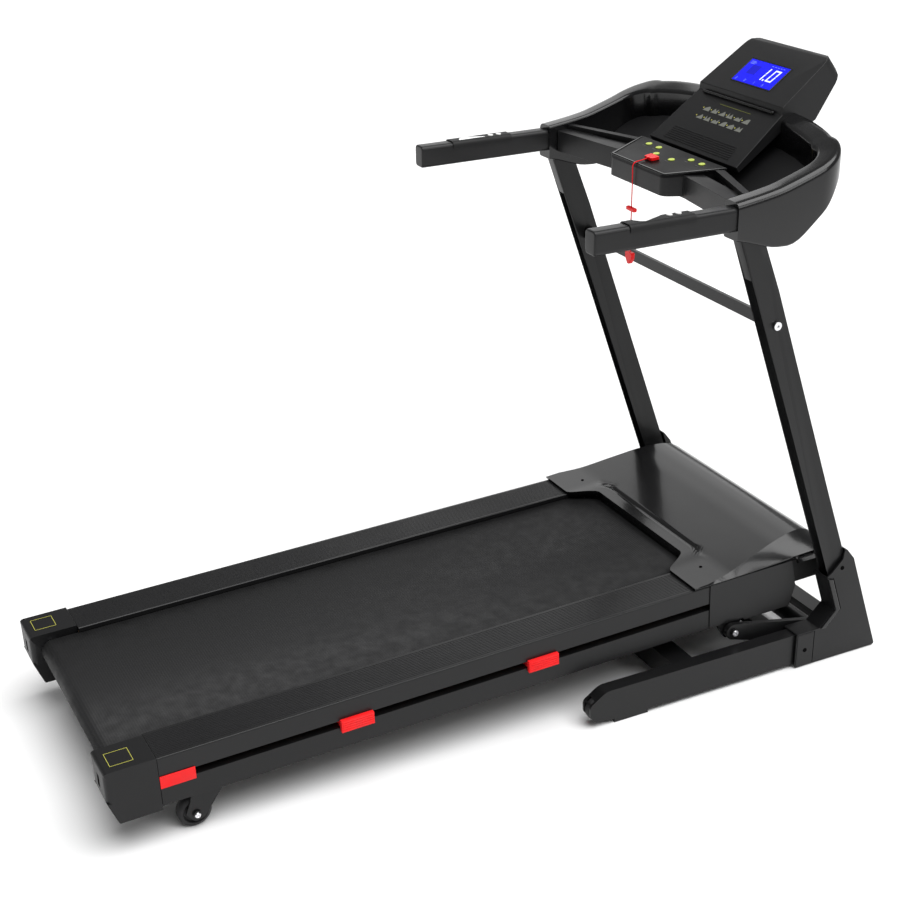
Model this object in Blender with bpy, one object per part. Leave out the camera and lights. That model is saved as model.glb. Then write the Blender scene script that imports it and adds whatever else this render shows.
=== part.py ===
"""Folding treadmill: base, uprights, console and a running deck that tilts and folds.

Metres, +X to the runner's right, +Y the way the runner faces, +Z up, floor at z = 0.
Deck pieces are written in deck axes (x, u along the deck, w above the foot rails).
"""

import math

import bmesh
import bpy
import numpy as np
from mathutils import Matrix, Vector

# --- overall placement ---
CENTRE_SHIFT = 0.0045           # moves the finished object so its bounds are centred in y
DECK_POINT = Vector((0.0, 0.6, 0.2199))
DECK_TILT = 0.0324              # the deck rises towards the motor
GAP = 0.0003
WALL = 0.0025                   # steel tube wall

# --- base and uprights ---
TUBE_IN = 0.323
TUBE_OUT = 0.353
TUBE_LOW = 0.008
TUBE_TOP = 0.077
LEAN = 0.355                    # metres back per metre up
UPRIGHT_REAR = 0.7519           # at floor height
UPRIGHT_FRONT = 0.8112
UPRIGHT_TOP = 0.9750
BASE_WHEEL = (0.143, 0.0365)
CROSSBAR = (0.506, 0.779)
HINGE = (0.694, 0.046)
HINGE_RADIUS = 0.019

# --- handles and console ---
HANDLE_X = (0.3210, 0.3553)
HANDLE_Z = (0.9757, 1.0207)
HANDLE_Y = (0.1005, 0.4800)
MODULE_Y = (0.1725, 0.3100)
HANDLE_BUTTONS = ((0.3345, 0.2660), (0.3345, 0.2850))
YOKE_X = (0.3165, 0.3585)
YOKE_REAR = 0.3990
YOKE_FRONT = ((0.240, 0.0120), (0.200, 0.0210), (0.150, 0.0280), (0.080, 0.0310))
KEY_SLOPE = math.atan(0.010 / 0.105)
KEY_PLATE_POINT = Vector((0.0, 0.470, 1.0250))
POD_BASE = Vector((0.0, 0.541, 1.029))
POD_SLOPE = math.atan2(0.1160 - 0.0290, 0.6515 - 0.541)

# --- deck, in deck axes ---
DECK_HALF = 0.2974
TUBE_INNER = 0.2574
FRAME_TOP = -0.0563
FRAME_LOW = -0.1005
BELT_TOP = -0.0110
BELT_THICK = 0.0020
BELT_HALF = 0.2115
ROLLER_RADIUS = 0.0215
ROLLER_W = BELT_TOP - BELT_THICK - ROLLER_RADIUS - GAP
REAR_ROLLER_U = -1.3900
FRONT_ROLLER_U = -0.0900
CAP_REAR = -1.4328
CAP_FRONT = -1.3365
CROSS_MEMBERS = ((-1.310, -1.280), (-0.800, -0.770), (-0.235, -0.205))
CUSHIONS_U = (-1.3025, -0.9565, -0.5615)
PIVOT = (-0.1183, -0.1166)
MOTOR_AXIS = (0.0450, -0.0450)
ROD_END = (-0.0036, -0.1290)
ROD_LEAN = math.atan2(0.259, 0.966)
ROD_X = 0.080
DECK_WHEEL = (-1.2750, -0.1460)
DECK_WHEEL_RADIUS = 0.0325

# --- materials: colour, roughness, metallic ---
FINISHES = {
    "black_paint": ((0.018, 0.018, 0.020), 0.35, 0.0),
    "gloss_black": ((0.020, 0.020, 0.022), 0.20, 0.0),
    "satin_black": ((0.024, 0.024, 0.026), 0.45, 0.0),
    "dark_plastic": ((0.012, 0.012, 0.013), 0.55, 0.0),
    "rubber": ((0.010, 0.010, 0.011), 0.80, 0.0),
    "belt": ((0.030, 0.030, 0.031), 0.75, 0.0),
    "board": ((0.110, 0.075, 0.050), 0.60, 0.0),
    "red_rubber": ((0.750, 0.020, 0.020), 0.50, 0.0),
    "red_cord": ((0.600, 0.010, 0.015), 0.60, 0.0),
    "chrome": ((0.800, 0.800, 0.820), 0.15, 1.0),
    "steel": ((0.450, 0.450, 0.460), 0.35, 1.0),
    "white_plastic": ((0.800, 0.800, 0.800), 0.35, 0.0),
    "green_plastic": ((0.520, 0.640, 0.150), 0.40, 0.0),
    "blue_glass": ((0.010, 0.020, 0.800), 0.15, 0.0),
    "copper_motor": ((0.060, 0.060, 0.065), 0.45, 0.8),
}

AXIS_MATRIX = {
    "x": Matrix(((0, 0, 1, 0), (1, 0, 0, 0), (0, 1, 0, 0), (0, 0, 0, 1))),
    "y": Matrix(((1, 0, 0, 0), (0, 0, -1, 0), (0, 1, 0, 0), (0, 0, 0, 1))),
    "z": Matrix.Identity(4),
}
AXIS_VECTOR = {"x": Vector((1, 0, 0)), "y": Vector((0, 1, 0)), "z": Vector((0, 0, 1))}
DECK_MATRIX = Matrix.Translation(DECK_POINT) @ Matrix.Rotation(DECK_TILT, 4, "X")


def clear_scene():
    for obj in list(bpy.data.objects):
        bpy.data.objects.remove(obj, do_unlink=True)


def finish(name):
    material = bpy.data.materials.get(name)
    if material is None:
        colour, roughness, metallic = FINISHES[name]
        material = bpy.data.materials.new(name)
        material.use_nodes = True
        shader = material.node_tree.nodes["Principled BSDF"]
        shader.inputs["Base Color"].default_value = (*colour, 1.0)
        shader.inputs["Roughness"].default_value = roughness
        shader.inputs["Metallic"].default_value = metallic
        material.diffuse_color = (*colour, 1.0)
    return material


def tidy(mesh):
    """Welds the seams of a mesh and turns its faces outwards."""
    work = bmesh.new()
    work.from_mesh(mesh)
    bmesh.ops.remove_doubles(work, verts=work.verts, dist=0.00001)
    bmesh.ops.dissolve_degenerate(work, edges=work.edges, dist=0.000001)
    bmesh.ops.recalc_face_normals(work, faces=work.faces)
    work.to_mesh(mesh)
    work.free()
    return mesh


def outline_mesh(loops, depth):
    """A closed 2D outline, with any holes, thickened by depth about local z = 0."""
    curve = bpy.data.curves.new("outline", "CURVE")
    curve.dimensions = "2D"
    curve.fill_mode = "BOTH"
    curve.extrude = depth / 2
    for loop in loops:
        spline = curve.splines.new("POLY")
        spline.points.add(len(loop) - 1)
        for point, (across, up) in zip(spline.points, loop):
            point.co = (across, up, 0.0, 1.0)
        spline.use_cyclic_u = True
    helper = bpy.data.objects.new("outline", curve)
    mesh = bpy.data.meshes.new_from_object(helper)
    bpy.data.objects.remove(helper)
    bpy.data.curves.remove(curve)
    return tidy(mesh)


def prism(axis, loops, low, high):
    """Outline loops swept from low to high along an axis. x takes (y, z), y takes (x, z), z takes (x, y)."""
    if not isinstance(loops[0][0], (tuple, list)):
        loops = [loops]
    mesh = outline_mesh(loops, high - low)
    place = Matrix.Translation(AXIS_VECTOR[axis] * (low + high) / 2)
    mesh.transform(place @ AXIS_MATRIX[axis])
    return mesh


def box(x_range, y_range, z_range):
    work = bmesh.new()
    bmesh.ops.create_cube(work, size=1.0)
    mesh = bpy.data.meshes.new("box")
    work.to_mesh(mesh)
    work.free()
    ranges = (x_range, y_range, z_range)
    size = Vector([high - low for low, high in ranges])
    centre = Vector([(high + low) / 2 for low, high in ranges])
    mesh.transform(Matrix.Translation(centre) @ Matrix.Diagonal((*size, 1.0)))
    return mesh


def circle(centre, radius, count=24, start=0.0):
    steps = [start + 2 * math.pi * index / count for index in range(count)]
    return [(centre[0] + radius * math.cos(a), centre[1] + radius * math.sin(a)) for a in steps]


def cylinder(axis, centre, radius, low, high, count=24):
    return prism(axis, circle(centre, radius, count), low, high)


def rounded(points, radius, steps=3):
    """The polygon with each corner rounded. radius is one number or one per corner."""
    radii = radius if isinstance(radius, (tuple, list)) else [radius] * len(points)
    result = []
    for index, corner in enumerate(points):
        here = Vector(corner)
        back = (Vector(points[index - 1]) - here)
        ahead = (Vector(points[(index + 1) % len(points)]) - here)
        size = radii[index]
        turn = back.angle(ahead)
        if size <= 0 or turn > math.radians(178):
            result.append(tuple(here))
            continue
        reach = min(size / math.tan(turn / 2), 0.49 * back.length, 0.49 * ahead.length)
        real = reach * math.tan(turn / 2)
        middle = here + (back.normalized() + ahead.normalized()).normalized() * real / math.sin(turn / 2)
        first = here + back.normalized() * reach - middle
        last = here + ahead.normalized() * reach - middle
        sweep = first.angle_signed(last)
        for step in range(steps + 1):
            angle = -sweep * step / steps
            spin = Matrix.Rotation(angle, 2)
            result.append(tuple(middle + spin @ first))
    return result


def rectangle(across, up, radius=0.0, steps=3):
    points = [(across[0], up[0]), (across[1], up[0]), (across[1], up[1]), (across[0], up[1])]
    return rounded(points, radius, steps) if radius else points


def grown(points, distance):
    """The anticlockwise polygon with every side moved outwards by distance."""
    result = []
    for index, corner in enumerate(points):
        here = Vector(corner)
        back = (here - Vector(points[index - 1])).normalized()
        ahead = (Vector(points[(index + 1) % len(points)]) - here).normalized()
        outward = Vector((back.y, -back.x)) + Vector((ahead.y, -ahead.x))
        result.append(tuple(here + outward * distance / (1 + back.dot(ahead))))
    return result


def loop_around(circles, count=20):
    """The outline of a band pulled tight around two circles, given as (centre, radius)."""
    (first, first_radius), (second, second_radius) = circles
    along = Vector(second) - Vector(first)
    heading = math.atan2(along.y, along.x)
    spread = math.acos((first_radius - second_radius) / along.length)
    points = []
    for centre, radius, start, end in (
        (second, second_radius, heading - spread, heading + spread),
        (first, first_radius, heading + spread, heading - spread + 2 * math.pi),
    ):
        for step in range(count + 1):
            angle = start + (end - start) * step / count
            points.append((centre[0] + radius * math.cos(angle), centre[1] + radius * math.sin(angle)))
    return points


def bevelled(mesh, width, wanted, segments=2):
    """Rounds the edges whose two end points both satisfy wanted(edge)."""
    work = bmesh.new()
    work.from_mesh(mesh)
    edges = [edge for edge in work.edges if wanted(edge)]
    bmesh.ops.bevel(work, geom=edges, offset=width, segments=segments, profile=0.5, affect="EDGES")
    work.to_mesh(mesh)
    work.free()
    return tidy(mesh)


def runs_along(axis):
    index = "xyz".index(axis)

    def test(edge):
        span = edge.verts[1].co - edge.verts[0].co
        return abs(span[index]) > 0.99 * span.length
    return test


def boolean(mesh, others, operation):
    """The mesh joined with, cut by or kept inside each of the others in turn."""
    for other in others:
        base = bpy.data.objects.new("base", mesh)
        tool = bpy.data.objects.new("tool", other)
        for obj in (base, tool):
            bpy.context.scene.collection.objects.link(obj)
        modifier = base.modifiers.new("boolean", "BOOLEAN")
        modifier.operation = operation
        modifier.solver = "EXACT"
        modifier.object = tool
        bpy.context.view_layer.update()
        graph = bpy.context.evaluated_depsgraph_get()
        result = bpy.data.meshes.new_from_object(base.evaluated_get(graph))
        bpy.data.objects.remove(base)
        bpy.data.objects.remove(tool)
        mesh = tidy(result)
    return mesh


def joined(mesh, *others):
    return boolean(mesh, others, "UNION")


def cut(mesh, *others):
    return boolean(mesh, others, "DIFFERENCE")


def inside(mesh, *others):
    return boolean(mesh, others, "INTERSECT")


def other_side(mesh):
    """The mirror image of a mesh across the middle plane."""
    copy = mesh.copy()
    copy.transform(Matrix.Scale(-1, 4, Vector((1, 0, 0))))
    return tidy(copy)


class Builder:
    """Puts finished meshes in the scene as named parts."""

    def __init__(self):
        self.parts = bpy.data.collections.new("treadmill")
        bpy.context.scene.collection.children.link(self.parts)
        self.deck = self.empty("deck_axes", DECK_MATRIX)

    def empty(self, name, matrix):
        obj = bpy.data.objects.new(name, None)
        obj.matrix_world = Matrix.Translation((0, CENTRE_SHIFT, 0)) @ matrix
        self.parts.objects.link(obj)
        return obj

    def add(self, name, mesh, look, origin=(0, 0, 0), deck=False, turn=None):
        """origin is the point the part turns about or slides from, turn its own slant there."""
        place = Matrix.Translation(origin) @ (turn or Matrix.Identity(4))
        mesh.transform(place.inverted())
        mesh.name = name
        mesh.materials.clear()
        mesh.materials.append(finish(look))
        obj = bpy.data.objects.new(name, mesh)
        self.parts.objects.link(obj)
        if deck:
            obj.parent = self.deck
            obj.matrix_basis = place
        else:
            obj.matrix_basis = Matrix.Translation((0, CENTRE_SHIFT, 0)) @ place
        return obj

    def add_pair(self, stem, mesh, look, origin=(0, 0, 0), deck=False):
        """The right-hand part as given and its mirror image on the left."""
        left = other_side(mesh)
        self.add(stem + "_R", mesh, look, origin, deck)
        self.add(stem + "_L", left, look, (-origin[0], origin[1], origin[2]), deck)


def upright_y(height, front=False):
    return (UPRIGHT_FRONT if front else UPRIGHT_REAR) - LEAN * height


# --- base -------------------------------------------------------------------

def base_side():
    """One floor tube with its rounded rear end, wheel slot, feet and hinge socket."""
    wheel_y, wheel_z = BASE_WHEEL
    outline = rounded(
        [(0.170, TUBE_LOW), (0.784, TUBE_LOW), (0.784, TUBE_TOP), (0.155, TUBE_TOP),
         (0.1185, 0.0520), (0.1195, 0.0280), (0.1310, 0.0135), (0.1550, 0.0125)],
        [0.004, 0.002, 0.002, 0.035, 0.012, 0.012, 0.008, 0.003])
    side = prism("x", outline, TUBE_IN, TUBE_OUT)
    feet = [box((0.3232, 0.3528), span, (0.0, 0.012)) for span in ((0.176, 0.254), (0.700, 0.780))]
    well = cylinder("x", BASE_WHEEL, 0.0272, 0.3280, 0.3480, 32)
    slot = joined(well, box((0.3280, 0.3480), (0.080, wheel_y + 0.005), (0.0, wheel_z)))
    pin = cylinder("x", BASE_WHEEL, 0.0040, 0.3270, 0.3490, 16)
    socket = cylinder("x", HINGE, 0.0104, 0.3200, 0.3345)
    bore = box((TUBE_IN + WALL, TUBE_OUT - WALL), (0.200, 0.800), (0.0125, TUBE_TOP - WALL))
    return cut(joined(cut(joined(side, *feet), slot), pin), bore, socket)


def build_base(scene):
    right = base_side()
    left = other_side(right)
    spans = (((0.335, 0.385), (0.018, 0.068)), ((0.738, 0.778), (0.012, 0.052)))
    bars = [box((-0.3250, 0.3250), *span) for span in spans]
    bores = [box((-0.3300, 0.3300), *[(low + WALL, high - WALL) for low, high in span]) for span in spans]
    scene.add("base_frame", cut(joined(right, *bars, left), *bores), "black_paint")

    ring = [circle(BASE_WHEEL, 0.0250, 32), circle(BASE_WHEEL, 0.0045, 16)]
    wheel = prism("x", ring, 0.3286, 0.3474)
    scene.add_pair("base_wheel", wheel, "dark_plastic", (0.338, *BASE_WHEEL))

    wall = [(0.6125, 0.0020), (0.8235, 0.0020), (0.7445, 0.2291), (0.7200, 0.2600), (0.7160, 0.2330),
            (0.6900, 0.2070), (0.6785, 0.1990), (0.7060, 0.1175), (0.6690, 0.0815), (0.6125, 0.0815)]
    hollow = [(0.6000, -0.0100), (0.8178, -0.0100), (upright_y(0.222, True) + 0.0060, 0.2220),
              (upright_y(0.222, True) + 0.0006, 0.2220), (upright_y(0.300, True) + 0.0006, 0.3000),
              (upright_y(0.300) - 0.0006, 0.3000), (upright_y(0.120) - 0.0006, 0.1200),
              (upright_y(0.0785) - 0.0010, 0.0785), (0.6000, 0.0785)]
    shell = prism("x", rounded(wall, 0.004, 2), 0.3165, 0.3600)
    scene.add_pair("base_cover", cut(shell, prism("x", hollow, 0.3000, 0.3565)), "satin_black")


def build_uprights(scene):
    low, high = TUBE_TOP + GAP, UPRIGHT_TOP
    side = [(upright_y(low), low), (upright_y(low, True), low),
            (upright_y(high, True), high), (upright_y(high), high)]
    tube = prism("x", side, TUBE_IN, TUBE_OUT)
    along = Vector((0, -LEAN, 1)).normalized()
    tube = bevelled(
        tube, 0.004, lambda e: abs((e.verts[1].co - e.verts[0].co).normalized().dot(along)) > 0.99)
    bore = [(upright_y(0.02) + WALL, 0.02), (upright_y(0.02, True) - WALL, 0.02),
            (upright_y(0.96, True) - WALL, 0.96), (upright_y(0.96) + WALL, 0.96)]
    tube = cut(tube, prism("x", bore, TUBE_IN + WALL, TUBE_OUT - WALL),
               cylinder("x", CROSSBAR, 0.0048, 0.30, 0.40, 16))
    scene.add_pair("upright", tube, "gloss_black")

    centre_y, centre_z = CROSSBAR
    reach = TUBE_IN - GAP
    bar = box((-0.3150, 0.3150), (centre_y - 0.0040, centre_y + 0.0040),
              (centre_z - 0.0120, centre_z + 0.0120))
    ends = [box(span, (centre_y - 0.0095, centre_y + 0.0095), (centre_z - 0.0115, centre_z + 0.0115))
            for span in ((0.3060, reach), (-reach, -0.3060))]
    holes = [cylinder("x", CROSSBAR, 0.0044, *span, 16) for span in ((0.3085, 0.33), (-0.33, -0.3085))]
    scene.add("upright_crossbar", cut(joined(bar, *ends), *holes), "gloss_black")
    head = cylinder("x", CROSSBAR, 0.0085, TUBE_OUT + GAP, TUBE_OUT + 0.0050, 20)
    socket = cylinder("x", CROSSBAR, 0.0035, TUBE_OUT + 0.0025, TUBE_OUT + 0.0100, 6)
    shank = cylinder("x", CROSSBAR, 0.0040, 0.3090, TUBE_OUT + 0.0010, 16)
    scene.add_pair("crossbar_bolt", cut(joined(head, shank), socket), "chrome")


# --- handles and console ----------------------------------------------------

def build_handles(scene):
    bar = box(HANDLE_X, HANDLE_Y, HANDLE_Z)
    bar = bevelled(bar, 0.008, runs_along("y"), 3)
    rear = HANDLE_Y[0] + 0.0001
    bar = bevelled(bar, 0.004, lambda e: max(v.co.y for v in e.verts) < rear, 2)
    top = HANDLE_Z[1]
    sockets = [cylinder("z", spot, 0.0068, top - 0.0060, top + 0.0100) for spot in HANDLE_BUTTONS]
    scene.add_pair("handle", cut(bar, *sockets), "satin_black")

    shell = box((HANDLE_X[0] - 0.0018, HANDLE_X[1] + 0.0018), MODULE_Y, (top - 0.012, top + 0.0025))
    shell = bevelled(shell, 0.009, lambda e: runs_along("y")(e) and e.verts[0].co.z > top, 3)
    room = box((HANDLE_X[0] - GAP, HANDLE_X[1] + GAP), (0.10, 0.40), (top - 0.030, top + GAP))
    room = bevelled(room, 0.008, lambda e: runs_along("y")(e) and e.verts[0].co.z > top, 3)
    wells = [cylinder("z", spot, 0.0063, top - 0.0010, top + 0.0100) for spot in HANDLE_BUTTONS]
    scene.add_pair("handle_module", cut(shell, room, *wells), "dark_plastic")
    for number, (across, y) in enumerate(HANDLE_BUTTONS, 1):
        for side, x in (("R", across), ("L", -across)):
            button = cylinder("z", (x, y), 0.0058, top - 0.0032, top + 0.0042, 20)
            scene.add(f"handle_button_{side}{number}", button, "white_plastic", (x, y, top + 0.0030))


def yoke_plan(outer, corner, turn, front):
    """One edge of the console ring in plan: straight arms, round corners and a bowed front."""
    right = [(outer, YOKE_REAR)]
    for step in range(9):
        angle = math.radians(90 * step / 8)
        right.append((outer - corner * (1 - math.cos(angle)), turn + corner * math.sin(angle)))
    right += [(x, turn + corner + rise) for x, rise in front]
    return right + [(-x, y) for x, y in reversed(right)]


def build_yoke(scene):
    band = yoke_plan(YOKE_X[1], 0.075, 0.585, YOKE_FRONT)
    band += list(reversed(yoke_plan(YOKE_X[0], 0.045, 0.576, YOKE_FRONT)))
    ring = prism("z", band, 0.90, 1.18)
    profile = [(0.3800, 0.9630), (0.4150, 0.9560), (0.4806, 0.9350), (0.5215, 0.9325), (0.5434, 0.9426),
               (0.5750, 0.9703), (0.6068, 0.9980), (0.6225, 1.0242), (0.6400, 1.0420), (0.6600, 1.0460),
               (0.7300, 1.0480), (0.7300, 1.1240), (0.6920, 1.1220), (0.6750, 1.1180), (0.6600, 1.1120),
               (0.6500, 1.1030), (0.6200, 1.0880), (0.5775, 1.0700), (0.5373, 1.0570), (0.4974, 1.0450),
               (0.4577, 1.0380), (0.3985, 1.0300), (0.3800, 1.0280)]
    ring = inside(ring, prism("x", profile, -0.40, 0.40))
    handle_room = box((HANDLE_X[0] - GAP, HANDLE_X[1] + GAP), (0.35, HANDLE_Y[1] + GAP),
                      (HANDLE_Z[0] - GAP, HANDLE_Z[1] + GAP))
    low, high = 0.90, UPRIGHT_TOP + GAP
    slot = [(upright_y(low) - 0.0004, low), (upright_y(low, True) + 0.0004, low),
            (upright_y(high, True) + 0.0004, high), (upright_y(high) - 0.0004, high)]
    upright_room = prism("x", slot, TUBE_IN - GAP, TUBE_OUT + GAP)
    pod_room = prism("x", grown(POD_SIDE, 0.0008), -0.145, 0.145)
    cuts = [handle_room, upright_room]
    cuts += [other_side(mesh) for mesh in cuts] + [pod_room]
    scene.add("yoke_housing", cut(ring, *cuts), "gloss_black")


# The pod seen from the side: face, display ledge, rounded top and the rear hump.
POD_SIDE = [(0.5410, 1.0290), (0.5480, 1.0180), (0.6620, 1.0900), (0.7000, 1.0800), (0.7370, 1.0960),
            (0.7960, 1.1760), (0.7860, 1.2060), (0.7760, 1.2125), (0.7640, 1.2100), (0.6520, 1.1300),
            (0.6515, 1.1160)]


FACE_MATRIX = Matrix.Translation((0, 0.6520, 1.1300)) @ Matrix.Rotation(math.atan2(0.0800, 0.1120), 4, "X")


def build_pod(scene):
    tilt = Matrix.Translation(POD_BASE) @ Matrix.Rotation(POD_SLOPE, 4, "X")
    face = rounded([(-0.1520, -0.020), (0.1520, -0.020), (0.1270, 0.300), (-0.1270, 0.300)],
                   [0.002, 0.002, 0.030, 0.030], 5)
    column = prism("z", face, -0.12, 0.05)
    column.transform(tilt)
    body = inside(prism("x", POD_SIDE, -0.16, 0.16), column)
    pocket = box((-0.0630, 0.0630), (0.0288, 0.0908), (-0.0035, 0.0200))
    pocket.transform(FACE_MATRIX)
    back_room = [(0.7000, 1.1250), (0.7560, 1.1780), (0.7780, 1.1650), (0.7280, 1.0700), (0.6950, 1.0700),
                 (0.6700, 1.1050)]
    body = cut(body, pocket, prism("x", back_room, -0.110, 0.110))
    scene.add("console_pod", body, "satin_black")
    panel = box((-0.0627, 0.0627), (0.0291, 0.0905), (-0.0032, 0.0004))
    panel.transform(FACE_MATRIX)
    scene.add("display_panel", panel, "blue_glass")


def key_matrix():
    return Matrix.Translation(KEY_PLATE_POINT) @ Matrix.Rotation(KEY_SLOPE, 4, "X")


KEY_SPOTS = ((-0.093, 0.0320), (-0.057, 0.0320), (-0.027, 0.0060),
             (0.027, 0.0060), (0.057, 0.0320), (0.093, 0.0320))
SAFETY_SPOT = (-0.004, -0.0190)


def build_keypad(scene):
    bar = rounded([(-0.3160, 0.4170), (-0.1200, 0.4450), (0.1200, 0.4450), (0.3160, 0.4170),
                   (0.3160, 0.4550), (0.1200, 0.4830), (-0.1200, 0.4830), (-0.3160, 0.4550)], 0.002, 1)
    bar = prism("z", bar, 0.9750, 1.0190)
    plan = rounded([(-0.0960, 0.4110), (0.0960, 0.4110), (0.1500, 0.5230), (-0.1500, 0.5230)],
                   [0.020, 0.020, 0.004, 0.004], 4)
    housing = prism("z", plan, 0.9770, 1.0300)
    slant = key_matrix()
    lip = [(-0.0975, -0.0600), (0.0975, -0.0600), (0.1515, 0.0535), (-0.1515, 0.0535)]
    above = prism("z", grown(lip, 0.0010), -0.0065, 0.08)
    above.transform(slant)
    brace = [(0.1000, 0.5130), (0.3160, 0.4440), (0.3160, 0.4590), (0.1250, 0.5240)]
    brace = prism("z", brace, 1.0160, 1.0280)
    sheet = prism("x", [(0.4500, 0.9780), (0.5300, 0.9780), (0.6650, 1.0563), (0.6650, 1.0600),
                        (0.5290, 0.9815), (0.4500, 0.9815)], -0.33, 0.33)
    front = [(x, rise - GAP) for x, rise in YOKE_FRONT]
    tray = inside(sheet, prism("z", yoke_plan(YOKE_X[0] - 0.0005, 0.045, 0.576, front), 0.9, 1.1))
    body = joined(bar, housing, brace, other_side(brace), tray)
    scene.add("console_crossbar", cut(body, above), "satin_black")

    lip = rounded(lip, [0.020, 0.020, 0.004, 0.004], 4)
    plate = prism("z", lip, -0.0062, 0.0000)
    wells = [cylinder("z", spot, 0.0070, -0.0042, 0.0100) for spot in KEY_SPOTS]
    x, y = SAFETY_SPOT
    socket = box((x - 0.0105, x + 0.0105), (y - 0.0055, y + 0.0055), (-0.0045, 0.0100))
    plate = cut(plate, *wells, socket)
    plate.transform(slant)
    scene.add("keypad_plate", plate, "gloss_black")
    for number, spot in enumerate(KEY_SPOTS, 1):
        key = cylinder("z", spot, 0.0067, -0.0025, 0.0015, 20)
        key.transform(slant)
        scene.add(f"key_{number}", key, "green_plastic", slant @ Vector((*spot, 0.0)), turn=slant_turn())
    tongue = box((x - 0.0100, x + 0.0100), (y - 0.0050, y + 0.0050), (-0.0040, 0.0030))
    grip = prism("z", rounded([(x - 0.013, y - 0.010), (x + 0.013, y - 0.010),
                               (x + 0.015, y + 0.009), (x - 0.015, y + 0.009)], 0.003, 2), 0.0005, 0.0068)
    safety = joined(tongue, grip)
    safety.transform(slant)
    scene.add("safety_key", safety, "red_rubber", slant @ Vector((x, y, 0.0)), turn=slant_turn())


def slant_turn():
    return Matrix.Rotation(KEY_SLOPE, 4, "X")


# --- safety cord ------------------------------------------------------------

CORD_RADIUS = 0.0012
CORD_X = -0.0040


CORD_ROUTE = (                  # (y, z) from the key, over the lip of the key plate and down
    (0.4404, 1.0272), (0.4340, 1.0254), (0.4270, 1.0241), (0.4200, 1.0233), (0.4140, 1.0225),
    (0.4092, 1.0203), (0.4068, 1.0160), (0.4066, 1.0090), (0.4070, 0.9950), (0.4070, 0.9750),
    (0.4070, 0.9550), (0.4070, 0.9350), (0.4070, 0.9150), (0.4070, 0.8900), (0.4070, 0.8650),
    (0.4070, 0.8395))


def smooth_line(route, spacing):
    """Points at an even spacing along a smooth curve through the route's own points."""
    ends = [route[0], *route, route[-1]]
    fine = [route[0]]
    for before, start, end, after in zip(ends, ends[1:], ends[2:], ends[3:]):
        for step in range(1, 21):
            t = step / 20
            fine.append(start + 0.5 * t * (end - before + t * (
                2 * before - 5 * start + 4 * end - after + t * (3 * start - 3 * end + after - before))))
    reach = [0.0]
    for start, end in zip(fine, fine[1:]):
        reach.append(reach[-1] + (end - start).length)
    count = round(reach[-1] / spacing)
    marks = [reach[-1] * i / count for i in range(count + 1)]
    return [Vector([np.interp(mark, reach, [point[axis] for point in fine]) for axis in range(3)])
            for mark in marks]


def cord_line():
    route = [Vector((CORD_X, y, z)) for y, z in CORD_ROUTE]
    return smooth_line(route, 4 * CORD_RADIUS)


def tube_along(points, radius):
    curve = bpy.data.curves.new("cord", "CURVE")
    curve.dimensions = "3D"
    curve.bevel_depth = radius
    curve.bevel_resolution = 2
    curve.use_fill_caps = True
    spline = curve.splines.new("POLY")
    spline.points.add(len(points) - 1)
    for point, place in zip(spline.points, points):
        point.co = (*place, 1.0)
    return curve


def build_cord(scene):
    points = cord_line()
    end = points[-1]
    scene.add("safety_cord", tube_along(points, CORD_RADIUS), "red_cord")
    slider = prism("x", rounded(rectangle((end.y - 0.0045, end.y + 0.0045), (0.9240, 0.9320)), 0.002, 2),
                   end.x - 0.0130, end.x + 0.0130)
    hole = cylinder("z", (end.x, end.y), CORD_RADIUS + 0.0004, 0.90, 0.95, 16)
    scene.add("cord_slider", cut(slider, hole), "red_cord", (end.x, end.y, 0.928))
    top = end.z - GAP
    jaw = rounded([(-0.0115, top), (0.0115, top), (0.0110, top - 0.012), (0.0030, top - 0.024),
                   (-0.0030, top - 0.024), (-0.0110, top - 0.012)], 0.002, 2)
    jaw = [(end.x + across, up) for across, up in jaw]
    clip = prism("y", jaw, end.y - 0.0045, end.y + 0.0045)
    scene.add("cord_clip", clip, "red_rubber", (end.x, end.y, top))


# --- deck -------------------------------------------------------------------

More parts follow.
